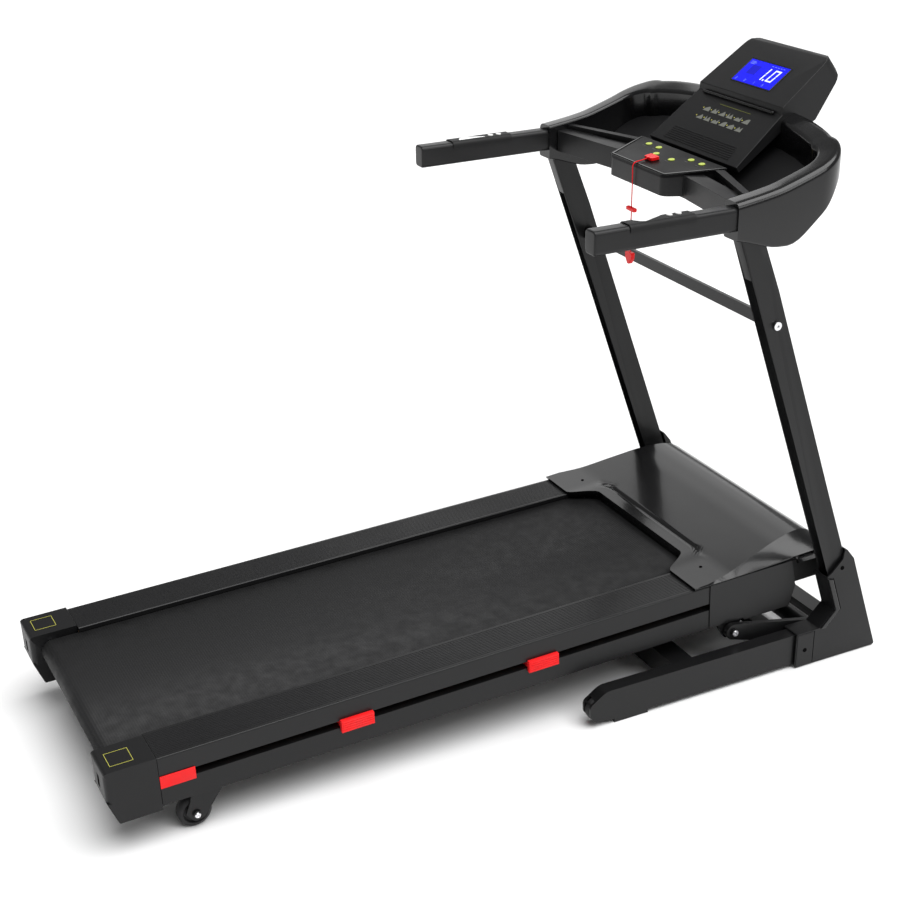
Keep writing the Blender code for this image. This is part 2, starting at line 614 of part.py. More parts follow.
def build_deck_frame(scene):
    tube = box((TUBE_INNER, DECK_HALF), (-1.3350, 0.0200), (FRAME_LOW, FRAME_TOP))
    rear_plate = [(-1.4150, -0.0950), (-1.3000, -0.0950), (-1.3000, -0.0600), (-1.3370, -0.0600),
                  (-1.3370, -0.0150), (-1.4150, -0.0150)]
    front_plate = [(-0.1150, -0.0950), (-0.0600, -0.0950), (-0.0650, -0.0150), (-0.1150, -0.0150)]
    hooks = [prism("x", shape, 0.2504, 0.2590) for shape in (rear_plate, front_plate)]
    wheel_u, wheel_w = DECK_WHEEL
    caster = rounded([(wheel_u - 0.004, wheel_w - 0.016), (wheel_u + 0.014, wheel_w - 0.012),
                      (wheel_u + 0.050, -0.1090), (wheel_u + 0.056, -0.0990), (wheel_u + 0.056, -0.0800),
                      (wheel_u - 0.010, -0.0800), (wheel_u - 0.004, -0.1060),
                      (wheel_u - 0.020, wheel_w + 0.004)],
                     0.006, 2)
    caster = prism("x", caster, 0.2855, 0.2905)
    axle = cylinder("x", DECK_WHEEL, 0.0050, 0.2560, 0.2880, 16)
    head = cylinder("x", DECK_WHEEL, 0.0080, 0.2890, 0.2950, 16)
    half_plate = [(0.012, -0.1340), (0.026, -0.1080), (0.030, -0.0900)]
    pivot_plate = rounded([(PIVOT[0] - across, up) for across, up in reversed(half_plate)]
                          + [(PIVOT[0] + across, up) for across, up in half_plate],
                          0.006, 2)
    pivot_plate = prism("x", pivot_plate, 0.2880, 0.2970)
    pin = cylinder("x", PIVOT, 0.0080, 0.2950, 0.3180, 20)
    side = joined(tube, *hooks, caster, axle, head, pivot_plate, pin)
    sockets = [cylinder("x", (u, ROLLER_W), 0.0064, 0.24, 0.27, 16) for u in (REAR_ROLLER_U, FRONT_ROLLER_U)]
    side = cut(side, *sockets)
    reach = TUBE_INNER + 0.0020
    bars = [box((-reach, reach), span, (-0.0990, -0.0640)) for span in CROSS_MEMBERS]
    bores = [box((-0.2650, 0.2650), (low + WALL, high - WALL), (-0.0990 + WALL, -0.0640 - WALL))
             for low, high in CROSS_MEMBERS]
    bores += [box(span, (-1.4200, 0.0300), (FRAME_LOW + WALL, FRAME_TOP - WALL))
              for span in ((TUBE_INNER + WALL, DECK_HALF - WALL), (WALL - DECK_HALF, -TUBE_INNER - WALL))]
    tray = box((-reach, reach), (-0.0550, 0.0190), (-0.0990, -0.0950))
    hole = box((ROD_X - 0.0350, ROD_X + 0.0350), (-0.0300, 0.0140), (-0.11, -0.08))
    frame = cut(joined(side, other_side(side), *bars, cut(tray, hole)), *bores)
    scene.add("deck_frame", frame, "black_paint", deck=True)


def build_deck_top(scene):
    board = box((-0.2905, 0.2905), (-1.3350, -0.1320), (-0.0320, BELT_TOP - BELT_THICK - 0.0004))
    scene.add("running_board", board, "board", deck=True)

    outer = ROLLER_RADIUS + GAP + BELT_THICK
    inner = ROLLER_RADIUS + GAP
    ends = ((REAR_ROLLER_U, ROLLER_W), (FRONT_ROLLER_U, ROLLER_W))
    loops = [loop_around([(ends[0], radius), (ends[1], radius)]) for radius in (outer, inner)]
    scene.add("running_belt", prism("x", loops, -BELT_HALF, BELT_HALF), "belt", deck=True)

    for name, centre in (("rear_roller", ends[0]), ("front_roller", ends[1])):
        drum = cylinder("x", centre, ROLLER_RADIUS, -0.2160, 0.2160, 32)
        shaft = cylinder("x", centre, 0.0060, -0.2585, 0.2585, 16)
        pieces = [shaft]
        if name == "front_roller":
            pieces.append(cylinder("x", centre, 0.0360, -0.2460, -0.2270, 32))
        scene.add(name, joined(drum, *pieces), "steel", (0, *centre), deck=True)

    section = [(DECK_HALF, -0.0415), (DECK_HALF, -0.0040), (0.2962, -0.0012), (0.2934, 0.0), (0.2100, 0.0),
               (0.2085, -0.0015), (0.2085, -0.0100), (0.2110, -0.0100), (0.2110, -0.0035), (0.2225, -0.0035),
               (0.2225, -0.0131), (0.2250, -0.0131), (0.2250, -0.0035), (0.2949, -0.0035), (0.2949, -0.0415)]
    scene.add_pair("foot_rail", prism("y", section, -1.3355, -0.1650), "satin_black", deck=True)


def rear_corner(edge):
    """The upright and long edges of the cap's rear face."""
    upright = runs_along("z")(edge) or (edge.calc_length() > 0.04 and not runs_along("x")(edge))
    return upright and max(v.co.y for v in edge.verts) < CAP_REAR + 0.0001


def build_end_caps(scene):
    side = rounded([(CAP_REAR, -0.0600), (CAP_REAR + 0.0170, -0.1080), (CAP_FRONT, -0.1080),
                    (CAP_FRONT, 0.0020), (CAP_REAR, 0.0020)], [0.004, 0.004, 0.001, 0.001, 0.008], 3)
    shell = prism("x", side, 0.2175, 0.2994)
    shell = bevelled(shell, 0.010, rear_corner, 3)
    room = [(CAP_REAR + 0.0035, -0.0590), (CAP_REAR + 0.0205, -0.1050), (-1.3300, -0.1050),
            (-1.3300, -0.0010), (CAP_REAR + 0.0035, -0.0010)]
    room = prism("x", room, 0.2205, 0.2960)
    shaft_hole = cylinder("x", (REAR_ROLLER_U, ROLLER_W), 0.0140, 0.21, 0.23)
    window = box((0.2500, 0.2640), (CAP_REAR - 0.01, CAP_REAR + 0.01), (-0.0480, -0.0220))
    scene.add_pair("end_cap", cut(shell, room, shaft_hole, window), "satin_black", deck=True)


def build_cushions(scene):
    for number, u in enumerate(CUSHIONS_U, 1):
        body = box((0.2640, 0.2940), (u - 0.032, u + 0.032), (-0.0560, -0.0323))
        neck = box((0.2900, 0.2985), (u - 0.030, u + 0.030), (-0.0556, -0.0420))
        outer = 0.3000 if number == 1 else 0.3055
        flange = box((DECK_HALF + GAP, outer), (u - 0.033, u + 0.033), (-0.0635, -0.0385))
        scene.add_pair(f"cushion_{number}", joined(body, neck, flange), "red_rubber", deck=True)


def build_deck_wheels(scene):
    ring = [circle(DECK_WHEEL, DECK_WHEEL_RADIUS, 32), circle(DECK_WHEEL, 0.0055, 16)]
    wheel = prism("x", ring, 0.2590, 0.2845)
    scene.add_pair("deck_wheel", wheel, "dark_plastic", (0.2715, *DECK_WHEEL), deck=True)


def build_drive(scene):
    side = rounded([(-0.1700, 0.0012), (-0.1700, -0.0980), (-0.0850, -0.0980), (-0.0840, -0.1045),
                    (0.0300, -0.1045), (0.0450, -0.0600), (0.0340, 0.0020)], 0.003, 2)
    wall = prism("x", side, 0.2977, 0.2997)
    floor = box((-0.2990, 0.2990), (-0.0830, 0.0290), (-0.1045, -0.1012))
    hole = box((ROD_X - 0.0350, ROD_X + 0.0350), (-0.0300, 0.0140), (-0.12, -0.09))
    scene.add("motor_pan", joined(cut(floor, hole), wall, other_side(wall)), "black_paint", deck=True)

    motor = cylinder("x", MOTOR_AXIS, 0.0430, -0.1980, -0.0200, 32)
    foot = box((-0.1700, -0.0500), (-0.0200, 0.0150), (-0.0947, -0.0700))
    bore = cylinder("x", MOTOR_AXIS, 0.0054, -0.2100, -0.1750, 16)
    scene.add("drive_motor", cut(joined(motor, foot), bore), "copper_motor", deck=True)
    shaft = cylinder("x", MOTOR_AXIS, 0.0050, -0.2450, -0.1800, 16)
    pulley = cylinder("x", MOTOR_AXIS, 0.0120, -0.2460, -0.2270, 24)
    flywheel = cylinder("x", MOTOR_AXIS, 0.0380, -0.2200, -0.2030, 32)
    scene.add("motor_pulley", joined(shaft, pulley, flywheel), "steel", (-0.2365, *MOTOR_AXIS), deck=True)
    big = (FRONT_ROLLER_U, ROLLER_W)
    loops = [loop_around([(big, 0.0365 + extra), (MOTOR_AXIS, 0.0124 + extra)], 20)
             for extra in (0.0025, 0.0)]
    scene.add("drive_belt", prism("x", loops, -0.2440, -0.2290), "rubber", deck=True)


def build_incline_drive(scene):
    start = Vector((ROD_X, *ROD_END))
    lay = Matrix.Translation(start) @ Matrix.Rotation(-ROD_LEAN, 4, "X")
    body = cylinder("z", (0, 0), 0.0200, 0.0500, 0.1240, 24)
    gearbox = box((-0.0150, 0.0560), (-0.0170, 0.0170), (0.0520, 0.0760))
    bore = cylinder("z", (0, 0), 0.0066, 0.02, 0.1120, 16)
    tabs = box((-0.0320, 0.0400), (-0.0120, 0.0120), (0.0390, 0.0560))
    body = cut(joined(body, gearbox, tabs), bore)
    body.transform(lay)
    scene.add("incline_motor", body, "copper_motor", deck=True)
    rod = cylinder("z", (0, 0), 0.0060, 0.0085, 0.1050, 16)
    eye = prism("x", circle((0, 0), 0.0110, 20), -0.0055, 0.0055)
    hole = prism("x", circle((0, 0), 0.0065, 20), -0.0100, 0.0100)
    rod = cut(joined(eye, rod), hole)
    rod.transform(lay)
    scene.add("incline_rod", rod, "steel", start, deck=True, turn=Matrix.Rotation(-ROD_LEAN, 4, "X"))


def build_hood(scene):
    def hood_shape(inset):
        side = [(-0.2080, -0.0600), (0.1400 - inset, -0.0600), (0.1350 - inset, 0.0080 - inset),
                (0.1150 - inset, 0.0300 - inset), (0.0800, 0.0410 - inset), (0.0300, 0.0400 - inset),
                (-0.0500, 0.0270 - inset), (-0.1210, 0.0110 - inset), (-0.2080, 0.0060 - inset)]
        front = [(-0.3010 + inset, -0.0600), (0.3010 - inset, -0.0600), (0.3010 - inset, 0.0070),
                 (0.2400 - inset, 0.0420), (-0.2400 + inset, 0.0420), (-0.3010 + inset, 0.0070)]
        return inside(prism("x", side, -0.32, 0.32), prism("y", front, -0.25, 0.16))
    shell = hood_shape(0.0)
    hollow = hood_shape(0.0030)
    hollow.transform(Matrix.Translation((0, 0, -0.0005)))
    opening = box((-0.2110, 0.2110), (-0.23, -0.1210), (-0.05, 0.05))
    trim = box((-0.33, 0.33), (-0.23, 0.0480), (-0.07, 0.0025))
    inlet_hole = box((-0.1645, -0.1355), (0.1250, 0.1500), (-0.0455, -0.0245))
    shell = cut(shell, trim, hollow, opening, inlet_hole)
    scene.add("motor_hood", shell, "gloss_black", deck=True)
    inlet = box((-0.1640, -0.1360), (0.1200, 0.1400), (-0.0450, -0.0250))
    recess = box((-0.1615, -0.1385), (0.1260, 0.1500), (-0.0430, -0.0270))
    pins = [box((x - 0.0010, x + 0.0010), (0.1250, 0.1360), (-0.0370, -0.0330))
            for x in (-0.1570, -0.1500, -0.1430)]
    scene.add("power_inlet", joined(cut(inlet, recess), *pins), "dark_plastic", deck=True)


# --- lift frame -------------------------------------------------------------

def deck_to_world(u, w):
    point = DECK_MATRIX @ Vector((0, u, w))
    return (point.y, point.z)


def build_lift(scene):
    shaft = cylinder("x", HINGE, HINGE_RADIUS, -0.3215, 0.3215, 32)
    stubs = cylinder("x", HINGE, 0.0100, -0.3340, 0.3340, 20)
    bores = [cylinder("x", HINGE, HINGE_RADIUS - WALL, -0.3180, 0.3180, 32),
             cylinder("x", HINGE, 0.0070, -0.3500, 0.3500, 20)]
    scene.add("hinge_shaft", cut(joined(shaft, stubs), *bores), "black_paint", (0, *HINGE))

    pivot = deck_to_world(*PIVOT)
    arm = loop_around([(pivot, 0.0170), (HINGE, 0.0270)], 10)
    arm = prism("x", arm, 0.3012, 0.3125)
    arm = cut(arm, cylinder("x", pivot, 0.0084, 0.29, 0.33, 20),
              cylinder("x", HINGE, HINGE_RADIUS + 0.0004, 0.29, 0.33, 32))
    cross = box((-0.3050, 0.3050), (0.5850, 0.6190), (0.0450, 0.0640))
    eye = deck_to_world(*ROD_END)
    ear = rounded([(0.5860, 0.0600), (0.6180, 0.0600), (eye[0] + 0.0090, eye[1] + 0.0090),
                   (eye[0] - 0.0090, eye[1] + 0.0090)], 0.005, 2)
    ears = [prism("x", ear, ROD_X + low, ROD_X + low + 0.0050) for low in (-0.0150, 0.0100)]
    pin = cylinder("x", eye, 0.0040, ROD_X - 0.0120, ROD_X + 0.0120, 16)
    frame = joined(cross, arm, other_side(arm), *ears, pin)
    scene.add("lift_frame", frame, "black_paint", (0, *HINGE))


def main():
    clear_scene()
    scene = Builder()
    build_base(scene)
    build_uprights(scene)
    build_handles(scene)
    build_yoke(scene)
    build_pod(scene)
    build_keypad(scene)
    build_cord(scene)
    build_deck_frame(scene)
    build_deck_top(scene)
    build_end_caps(scene)
    build_cushions(scene)
    build_deck_wheels(scene)
    build_drive(scene)
    build_incline_drive(scene)
    build_hood(scene)
    build_lift(scene)


main()
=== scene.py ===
"""The treadmill's finished look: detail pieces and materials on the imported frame."""

import math

import bmesh
import bpy
import numpy as np
from mathutils import Matrix, Vector


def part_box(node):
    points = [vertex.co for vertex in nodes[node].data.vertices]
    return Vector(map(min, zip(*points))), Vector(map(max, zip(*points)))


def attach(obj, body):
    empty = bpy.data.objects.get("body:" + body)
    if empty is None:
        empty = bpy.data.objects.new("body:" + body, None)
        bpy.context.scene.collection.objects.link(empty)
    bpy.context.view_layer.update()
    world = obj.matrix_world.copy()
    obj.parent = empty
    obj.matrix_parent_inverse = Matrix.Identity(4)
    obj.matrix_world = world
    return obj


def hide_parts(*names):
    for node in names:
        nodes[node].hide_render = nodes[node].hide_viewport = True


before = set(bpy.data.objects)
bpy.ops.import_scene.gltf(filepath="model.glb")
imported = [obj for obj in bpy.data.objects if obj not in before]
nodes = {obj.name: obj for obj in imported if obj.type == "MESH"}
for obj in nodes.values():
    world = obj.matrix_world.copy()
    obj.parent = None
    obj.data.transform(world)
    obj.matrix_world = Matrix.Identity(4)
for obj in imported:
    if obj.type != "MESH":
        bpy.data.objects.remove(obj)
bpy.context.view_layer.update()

CENTRE_SHIFT = 0.0045
DECK_POINT = (0.0, 0.6 + CENTRE_SHIFT, 0.2199)
DECK_TILT = 0.0324
DECK = Matrix.Translation(DECK_POINT) @ Matrix.Rotation(DECK_TILT, 4, "X")
KEY_SLOPE = math.atan(0.010 / 0.105)
KEYS = Matrix.Translation((0.0, 0.470 + CENTRE_SHIFT, 1.0250)) @ Matrix.Rotation(KEY_SLOPE, 4, "X")
POD_SLOPE = math.atan2(0.1160 - 0.0290, 0.6515 - 0.541)
POD = Matrix.Translation((0.0, 0.541 + CENTRE_SHIFT, 1.029)) @ Matrix.Rotation(POD_SLOPE, 4, "X")
FACE_SLOPE = math.atan2(0.0800, 0.1120)
FACE = Matrix.Translation((0.0, 0.6520 + CENTRE_SHIFT, 1.1300)) @ Matrix.Rotation(FACE_SLOPE, 4, "X")
SHIFT = Matrix.Translation((0, CENTRE_SHIFT, 0))
SIDEWAYS = Matrix(((0, 0, 1, 0), (1, 0, 0, 0), (0, 1, 0, 0), (0, 0, 0, 1)))   # x, y, z of a plate to y, z, x
BOTH = (("R", 1), ("L", -1))


# --- camera -------------------------------------------------------------------

CAMERA_LENS = 66.2
CAMERA_PLACE = (2.68573, -1.34191, 1.85884)
CAMERA_RIGHT = Vector((0.45176, 0.89205, -0.01236))
CAMERA_UP = Vector((-0.36451, 0.19720, 0.91008))


def make_camera():
    data = bpy.data.cameras.new("camera")
    data.sensor_width = 36.0
    data.lens = CAMERA_LENS
    camera = bpy.data.objects.new("camera", data)
    bpy.context.scene.collection.objects.link(camera)
    turn = Matrix((CAMERA_RIGHT, CAMERA_UP, CAMERA_RIGHT.cross(CAMERA_UP))).transposed()
    camera.matrix_world = Matrix.Translation(CAMERA_PLACE) @ turn.to_4x4()
    bpy.context.scene.camera = camera


make_camera()


# --- mesh helpers -------------------------------------------------------------

def place(name, mesh, look, body, matrix=None):
    """Adds a finished mesh as a piece that rides on a body."""
    if matrix is not None:
        mesh.transform(matrix)
    mesh.materials.clear()
    mesh.materials.append(look)
    piece = bpy.data.objects.new(name, mesh)
    bpy.context.scene.collection.objects.link(piece)
    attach(piece, body)
    return piece


def to_mesh(work, name="piece"):
    bmesh.ops.recalc_face_normals(work, faces=work.faces)
    mesh = bpy.data.meshes.new(name)
    work.to_mesh(mesh)
    work.free()
    return mesh


def slab(outline, low, high, bevel=0.0, steps=2):
    """A closed plate in the x, y plane with its rims rounded."""
    work = bmesh.new()
    face = work.faces.new([work.verts.new((x, y, low)) for x, y in outline])
    moved = bmesh.ops.extrude_face_region(work, geom=[face])["geom"]
    for vert in moved:
        if isinstance(vert, bmesh.types.BMVert):
            vert.co.z = high
    bmesh.ops.recalc_face_normals(work, faces=work.faces)
    if bevel:
        rims = [edge for edge in work.edges if edge.calc_face_angle(0) > 0.6]
        bmesh.ops.bevel(work, geom=rims, offset=bevel, segments=steps, profile=0.5,
                        affect="EDGES", clamp_overlap=True)
    return to_mesh(work)


def rectangle(x0, x1, y0, y1, radius=0.0, steps=4):
    if not radius:
        return [(x0, y0), (x1, y0), (x1, y1), (x0, y1)]
    points = []
    corners = ((x1 - radius, y0 + radius, -90), (x1 - radius, y1 - radius, 0),
               (x0 + radius, y1 - radius, 90), (x0 + radius, y0 + radius, 180))
    for x, y, first in corners:
        for step in range(steps + 1):
            angle = math.radians(first + 90 * step / steps)
            points.append((x + radius * math.cos(angle), y + radius * math.sin(angle)))
    return points


def turned(profile, count=40):
    """A body of revolution about z from (radius, height) points, closed at the axis."""
    work = bmesh.new()
    rings = []
    for radius, height in profile:
        if radius < 1e-6:
            rings.append([work.verts.new((0, 0, height))])
        else:
            rings.append([work.verts.new((radius * math.cos(math.tau * i / count),
                                          radius * math.sin(math.tau * i / count), height))
                          for i in range(count)])
    for lower, upper in zip(rings, rings[1:]):
        for i in range(count):
            a, b = lower[i % len(lower)], lower[(i + 1) % len(lower)]
            c, d = upper[(i + 1) % len(upper)], upper[i % len(upper)]
            corners = list(dict.fromkeys((a, b, c, d)))
            if len(corners) > 2:
                work.faces.new(corners)
    return to_mesh(work)


def merged(meshes):
    work = bmesh.new()
    for mesh in meshes:
        work.from_mesh(mesh)
    return to_mesh(work)


def bar_between(start, end, radius, count=12):
    """A round bar with rounded ends between two points."""
    start, end = Vector(start), Vector(end)
    length = (end - start).length
    cap = radius * 0.35
    mesh = turned([(0, 0), (radius - cap, 0), (radius, cap), (radius, length - cap),
                   (radius - cap, length), (0, length)], count)
    mesh.transform(Matrix.Translation(start) @ (end - start).to_track_quat("Z", "Y").to_matrix().to_4x4())
    return mesh


def smooth(piece, angle=35):
    """Smooth shading with sharp edges kept."""
    for face in piece.data.polygons:
        face.use_smooth = True
    piece.data.set_sharp_from_angle(angle=math.radians(angle))


def mirrored(mesh):
    copy = mesh.copy()
    copy.transform(Matrix.Scale(-1, 4, (1, 0, 0)))
    copy.flip_normals()
    return copy


def place_pair(stem, mesh, look, body, matrix):
    """The mesh on the right side and its mirror image on the left."""
    return [place(f"{stem}_{side}", mesh.copy() if sign > 0 else mirrored(mesh), look, body, matrix)
            for side, sign in BOTH]


# --- safety cord --------------------------------------------------------------

CORD_RADIUS = 0.0012
CORD_X = -0.0040
CORD_ROUTE = (
    (0.4404, 1.0272), (0.4340, 1.0254), (0.4270, 1.0241), (0.4200, 1.0233), (0.4140, 1.0225),
    (0.4092, 1.0203), (0.4068, 1.0160), (0.4066, 1.0090), (0.4070, 0.9950), (0.4070, 0.9750),
    (0.4070, 0.9550), (0.4070, 0.9350), (0.4070, 0.9150), (0.4070, 0.8900), (0.4070, 0.8650),
    (0.4070, 0.8395))


def smooth_line(route, spacing):
    """Points at an even spacing along a smooth curve through the route's own points."""
    ends = [route[0], *route, route[-1]]
    fine = [route[0]]
    for before, start, end, after in zip(ends, ends[1:], ends[2:], ends[3:]):
        for step in range(1, 21):
            t = step / 20
            fine.append(start + 0.5 * t * (end - before + t * (
                2 * before - 5 * start + 4 * end - after + t * (3 * start - 3 * end + after - before))))
    reach = [0.0]
    for start, end in zip(fine, fine[1:]):
        reach.append(reach[-1] + (end - start).length)
    count = round(reach[-1] / spacing)
    marks = [reach[-1] * i / count for i in range(count + 1)]
    return [Vector([np.interp(mark, reach, [point[axis] for point in fine]) for axis in range(3)])
            for mark in marks]


# --- materials ----------------------------------------------------------------

class Look:
    """Builds one node material around a Principled shader."""

    def __init__(self, name, colour, roughness, metallic=0.0, coat=0.0, specular=0.5):
        self.material = bpy.data.materials.new(name)
        self.material.use_nodes = True
        self.tree = self.material.node_tree
        self.shader = self.tree.nodes["Principled BSDF"]
        self.shader.inputs["Metallic"].default_value = metallic
        self.shader.inputs["Coat Weight"].default_value = coat
        self.shader.inputs["Coat Roughness"].default_value = 0.08
        self.shader.inputs["Specular IOR Level"].default_value = specular
        self.shader.inputs["Base Color"].default_value = (*colour, 1)
        self.shader.inputs["Roughness"].default_value = roughness
        self.colour, self.roughness = colour, roughness
        self.place = self.node("ShaderNodeTexCoord").outputs["Object"]
        self.height = None

    def node(self, kind, **values):
        made = self.tree.nodes.new(kind)
        for name, value in values.items():
            if hasattr(made, name):
                setattr(made, name, value)
            else:
                made.inputs[name.replace("_", " ")].default_value = value
        return made

    def link(self, source, target):
        self.tree.links.new(source, target)

    def scaled(self, scale):
        mapping = self.node("ShaderNodeMapping")
        mapping.inputs["Scale"].default_value = scale
        self.link(self.place, mapping.inputs["Vector"])
        return mapping.outputs["Vector"]

    def noise(self, scale, detail=3.0, where=None):
        made = self.node("ShaderNodeTexNoise", Scale=scale, Detail=detail)
        self.link(where or self.place, made.inputs["Vector"])
        return made.outputs["Fac"]

    def spread(self, value, low, high, first=0.0, last=1.0):
        made = self.node("ShaderNodeMapRange")
        for name, number in (("From Min", low), ("From Max", high), ("To Min", first), ("To Max", last)):
            made.inputs[name].default_value = number
        self.link(value, made.inputs["Value"])
        return made.outputs["Result"]

    def maths(self, kind, a, b=None):
        made = self.node("ShaderNodeMath", operation=kind)
        for socket, value in zip(made.inputs, (a, b)):
            if value is None:
                continue
            if isinstance(value, (int, float)):
                socket.default_value = value
            else:
                self.link(value, socket)
        return made.outputs[0]

    def tint(self, value, other, base=None):
        """Blends the base colour towards another where value is high."""
        made = self.node("ShaderNodeMix", data_type="RGBA")
        self.link(value, made.inputs["Factor"])
        if base is None:
            made.inputs["A"].default_value = (*self.colour, 1)
        else:
            self.link(base, made.inputs["A"])
        made.inputs["B"].default_value = (*other, 1)
        self.link(made.outputs["Result"], self.shader.inputs["Base Color"])
        return made.outputs["Result"]

    def rough(self, value, low, high):
        self.link(self.spread(value, 0.3, 0.7, low, high), self.shader.inputs["Roughness"])

    def bump(self, value, distance, strength=1.0):
        made = self.node("ShaderNodeBump", Strength=strength, Distance=distance)
        self.link(value, made.inputs["Height"])
        if self.height is not None:
            self.link(self.height, made.inputs["Normal"])
        self.link(made.outputs["Normal"], self.shader.inputs["Normal"])
        self.height = made.outputs["Normal"]


def worn(look, edge_tint, amount=0.5, radius=0.0015):
    """Lighter, slightly rubbed edges."""
    soft = look.node("ShaderNodeBevel", samples=4, Radius=radius)
    flat = look.node("ShaderNodeNewGeometry")
    dot = look.node("ShaderNodeVectorMath", operation="DOT_PRODUCT")
    look.link(soft.outputs["Normal"], dot.inputs[0])
    look.link(flat.outputs["Normal"], dot.inputs[1])
    edge = look.spread(dot.outputs["Value"], 1.0, 0.86)
    patchy = look.spread(look.noise(90.0, 4.0), 0.35, 0.75, 0.2, 1.0)
    mask = look.maths("MULTIPLY", look.maths("MULTIPLY", edge, patchy), amount)
    return look.tint(mask, edge_tint)


def plastic(name, colour, low, high, grain=0.00006, grain_scale=900.0, coat=0.0, specular=0.32):
    look = Look(name, colour, (low + high) / 2, coat=coat, specular=specular)
    look.rough(look.noise(7.0, 5.0), low, high)
    look.bump(look.noise(grain_scale, 2.0), grain, 0.5)
    worn(look, tuple(min(1.0, part * 1.8 + 0.02) for part in colour), 0.35)
    return look.material


def paint(name, colour, low, high):
    look = Look(name, colour, (low + high) / 2, coat=0.05, specular=0.29)
    look.rough(look.noise(5.0, 4.0), low, high)
    look.bump(look.noise(420.0, 2.0), 0.00008, 0.5)
    worn(look, tuple(part * 2.0 + 0.02 for part in colour), 0.4)
    return look.material


def metal(name, colour, roughness, stretch=(1.0, 60.0, 60.0)):
    look = Look(name, colour, roughness, metallic=1.0)
    lines = look.noise(60.0, 3.0, look.scaled(stretch))
    look.rough(lines, roughness * 0.75, roughness * 1.4)
    look.bump(lines, 0.00003, 0.4)
    look.tint(look.spread(look.noise(35.0), 0.5, 0.8, 0.0, 0.35), tuple(part * 0.6 for part in colour))
    return look.material


WEAVE_PITCH, WEAVE_SLANT = 0.0062, 0.62


def belt_look():
    """A fine raised diamond weave with a painted highlight on its crests and dusty wear down the middle."""
    look = Look("belt_weave", (0.0100, 0.0100, 0.0105), 0.6, specular=0.30)
    parts = look.node("ShaderNodeSeparateXYZ")
    look.link(look.place, parts.inputs[0])
    x, y = parts.outputs["X"], parts.outputs["Y"]
    slant = look.maths("MULTIPLY", y, WEAVE_SLANT)
    one = look.maths("SINE", look.maths("MULTIPLY", look.maths("ADD", x, slant), math.tau / WEAVE_PITCH))
    slant = look.maths("MULTIPLY", y, WEAVE_SLANT)
    two = look.maths("SINE", look.maths("MULTIPLY", look.maths("SUBTRACT", x, slant), math.tau / WEAVE_PITCH))
    weave = look.spread(look.maths("MULTIPLY", one, two), -0.6, 0.8)
    look.bump(weave, 0.0004, 0.6)
    look.bump(look.noise(1500.0, 2.0), 0.00005, 0.4)
    worn_middle = look.spread(look.maths("ABSOLUTE", x), 0.19, 0.02, 0.0, 0.06)
    patches = look.spread(look.noise(9.0, 6.0, look.scaled((1.0, 0.3, 1.0))), 0.35, 0.75)
    base = look.tint(look.maths("MULTIPLY", worn_middle, patches), (0.015, 0.015, 0.016))
    # painted highlight: the raised crests of the weave are tinted lighter
    look.tint(look.spread(weave, 0.55, 1.0, 0.0, 0.5), (0.028, 0.028, 0.029), base)
    look.rough(look.noise(40.0, 4.0), 0.55, 0.72)
    return look.material


def grip_look():
    """Satin sleeve with a faint stipple."""
    look = Look("grip_sleeve", (0.0080, 0.0080, 0.0085), 0.38, coat=0.05, specular=0.28)
    dots = look.node("ShaderNodeTexVoronoi", Scale=900.0)
    look.link(look.place, dots.inputs["Vector"])
    look.bump(look.spread(dots.outputs["Distance"], 0.1, 0.6), 0.00008, 0.5)
    look.rough(look.noise(12.0, 4.0), 0.30, 0.46)
    worn(look, (0.05, 0.05, 0.052), 0.4)
    return look.material


def rubber_look(name, colour, scale=500.0):
    look = Look(name, colour, 0.6, specular=0.4)
    look.bump(look.noise(scale, 3.0), 0.0001, 0.6)
    look.rough(look.noise(22.0, 4.0), 0.5, 0.75)
    look.tint(look.spread(look.noise(30.0, 5.0), 0.5, 0.8, 0.0, 0.4),
              tuple(part * 0.6 + 0.02 for part in colour))
    return look.material


def cord_look():
    """A twisted two-strand cord, with painted shade darkening the grooves between the strands."""
    look = Look("red_cord", (0.86, 0.006, 0.012), 0.6, specular=0.3)
    wave = look.node("ShaderNodeTexWave", wave_type="BANDS", bands_direction="DIAGONAL", Scale=260.0)
    look.link(look.place, wave.inputs["Vector"])
    look.bump(wave.outputs["Fac"], 0.0003, 0.8)
    # painted shade: the troughs of the bands, the grooves between the strands, are tinted darker
    look.tint(look.spread(wave.outputs["Fac"], 0.0, 0.4, 0.6, 0.0), (0.42, 0.003, 0.006))
    return look.material


def glow(name, colour, strength):
    look = Look(name, tuple(part * 0.3 for part in colour), 0.3, specular=0.2)
    look.shader.inputs["Emission Strength"].default_value = strength
    look.shader.inputs["Emission Color"].default_value = (*colour, 1)
    cloud = look.spread(look.noise(25.0, 3.0), 0.2, 0.8, 0.0, 0.35)
    mixed = look.node("ShaderNodeMix", data_type="RGBA")
    look.link(cloud, mixed.inputs["Factor"])
    mixed.inputs["A"].default_value = (*colour, 1)
    mixed.inputs["B"].default_value = (*(part * 0.55 for part in colour), 1)
    look.link(mixed.outputs["Result"], look.shader.inputs["Emission Color"])
    return look.material


def print_look(name, colour):
    """Screen-printed ink, slightly broken up."""
    look = Look(name, colour, 0.45)
    look.tint(look.spread(look.noise(400.0, 3.0), 0.55, 0.8, 0.0, 0.5), tuple(part * 0.6 for part in colour))
    look.bump(look.noise(1200.0), 0.00002, 0.3)
    return look.material


def plate_look():
    """Bright brushed plate that reads almost white under soft light."""
    look = Look("sensor_plate", (0.90, 0.90, 0.90), 0.3, metallic=0.25)
    lines = look.noise(60.0, 3.0, look.scaled((60.0, 1.0, 60.0)))
    look.rough(lines, 0.22, 0.40)
    look.bump(lines, 0.00002, 0.4)
    look.tint(look.spread(lines, 0.5, 0.8, 0.0, 0.3), (0.70, 0.70, 0.71))
    return look.material


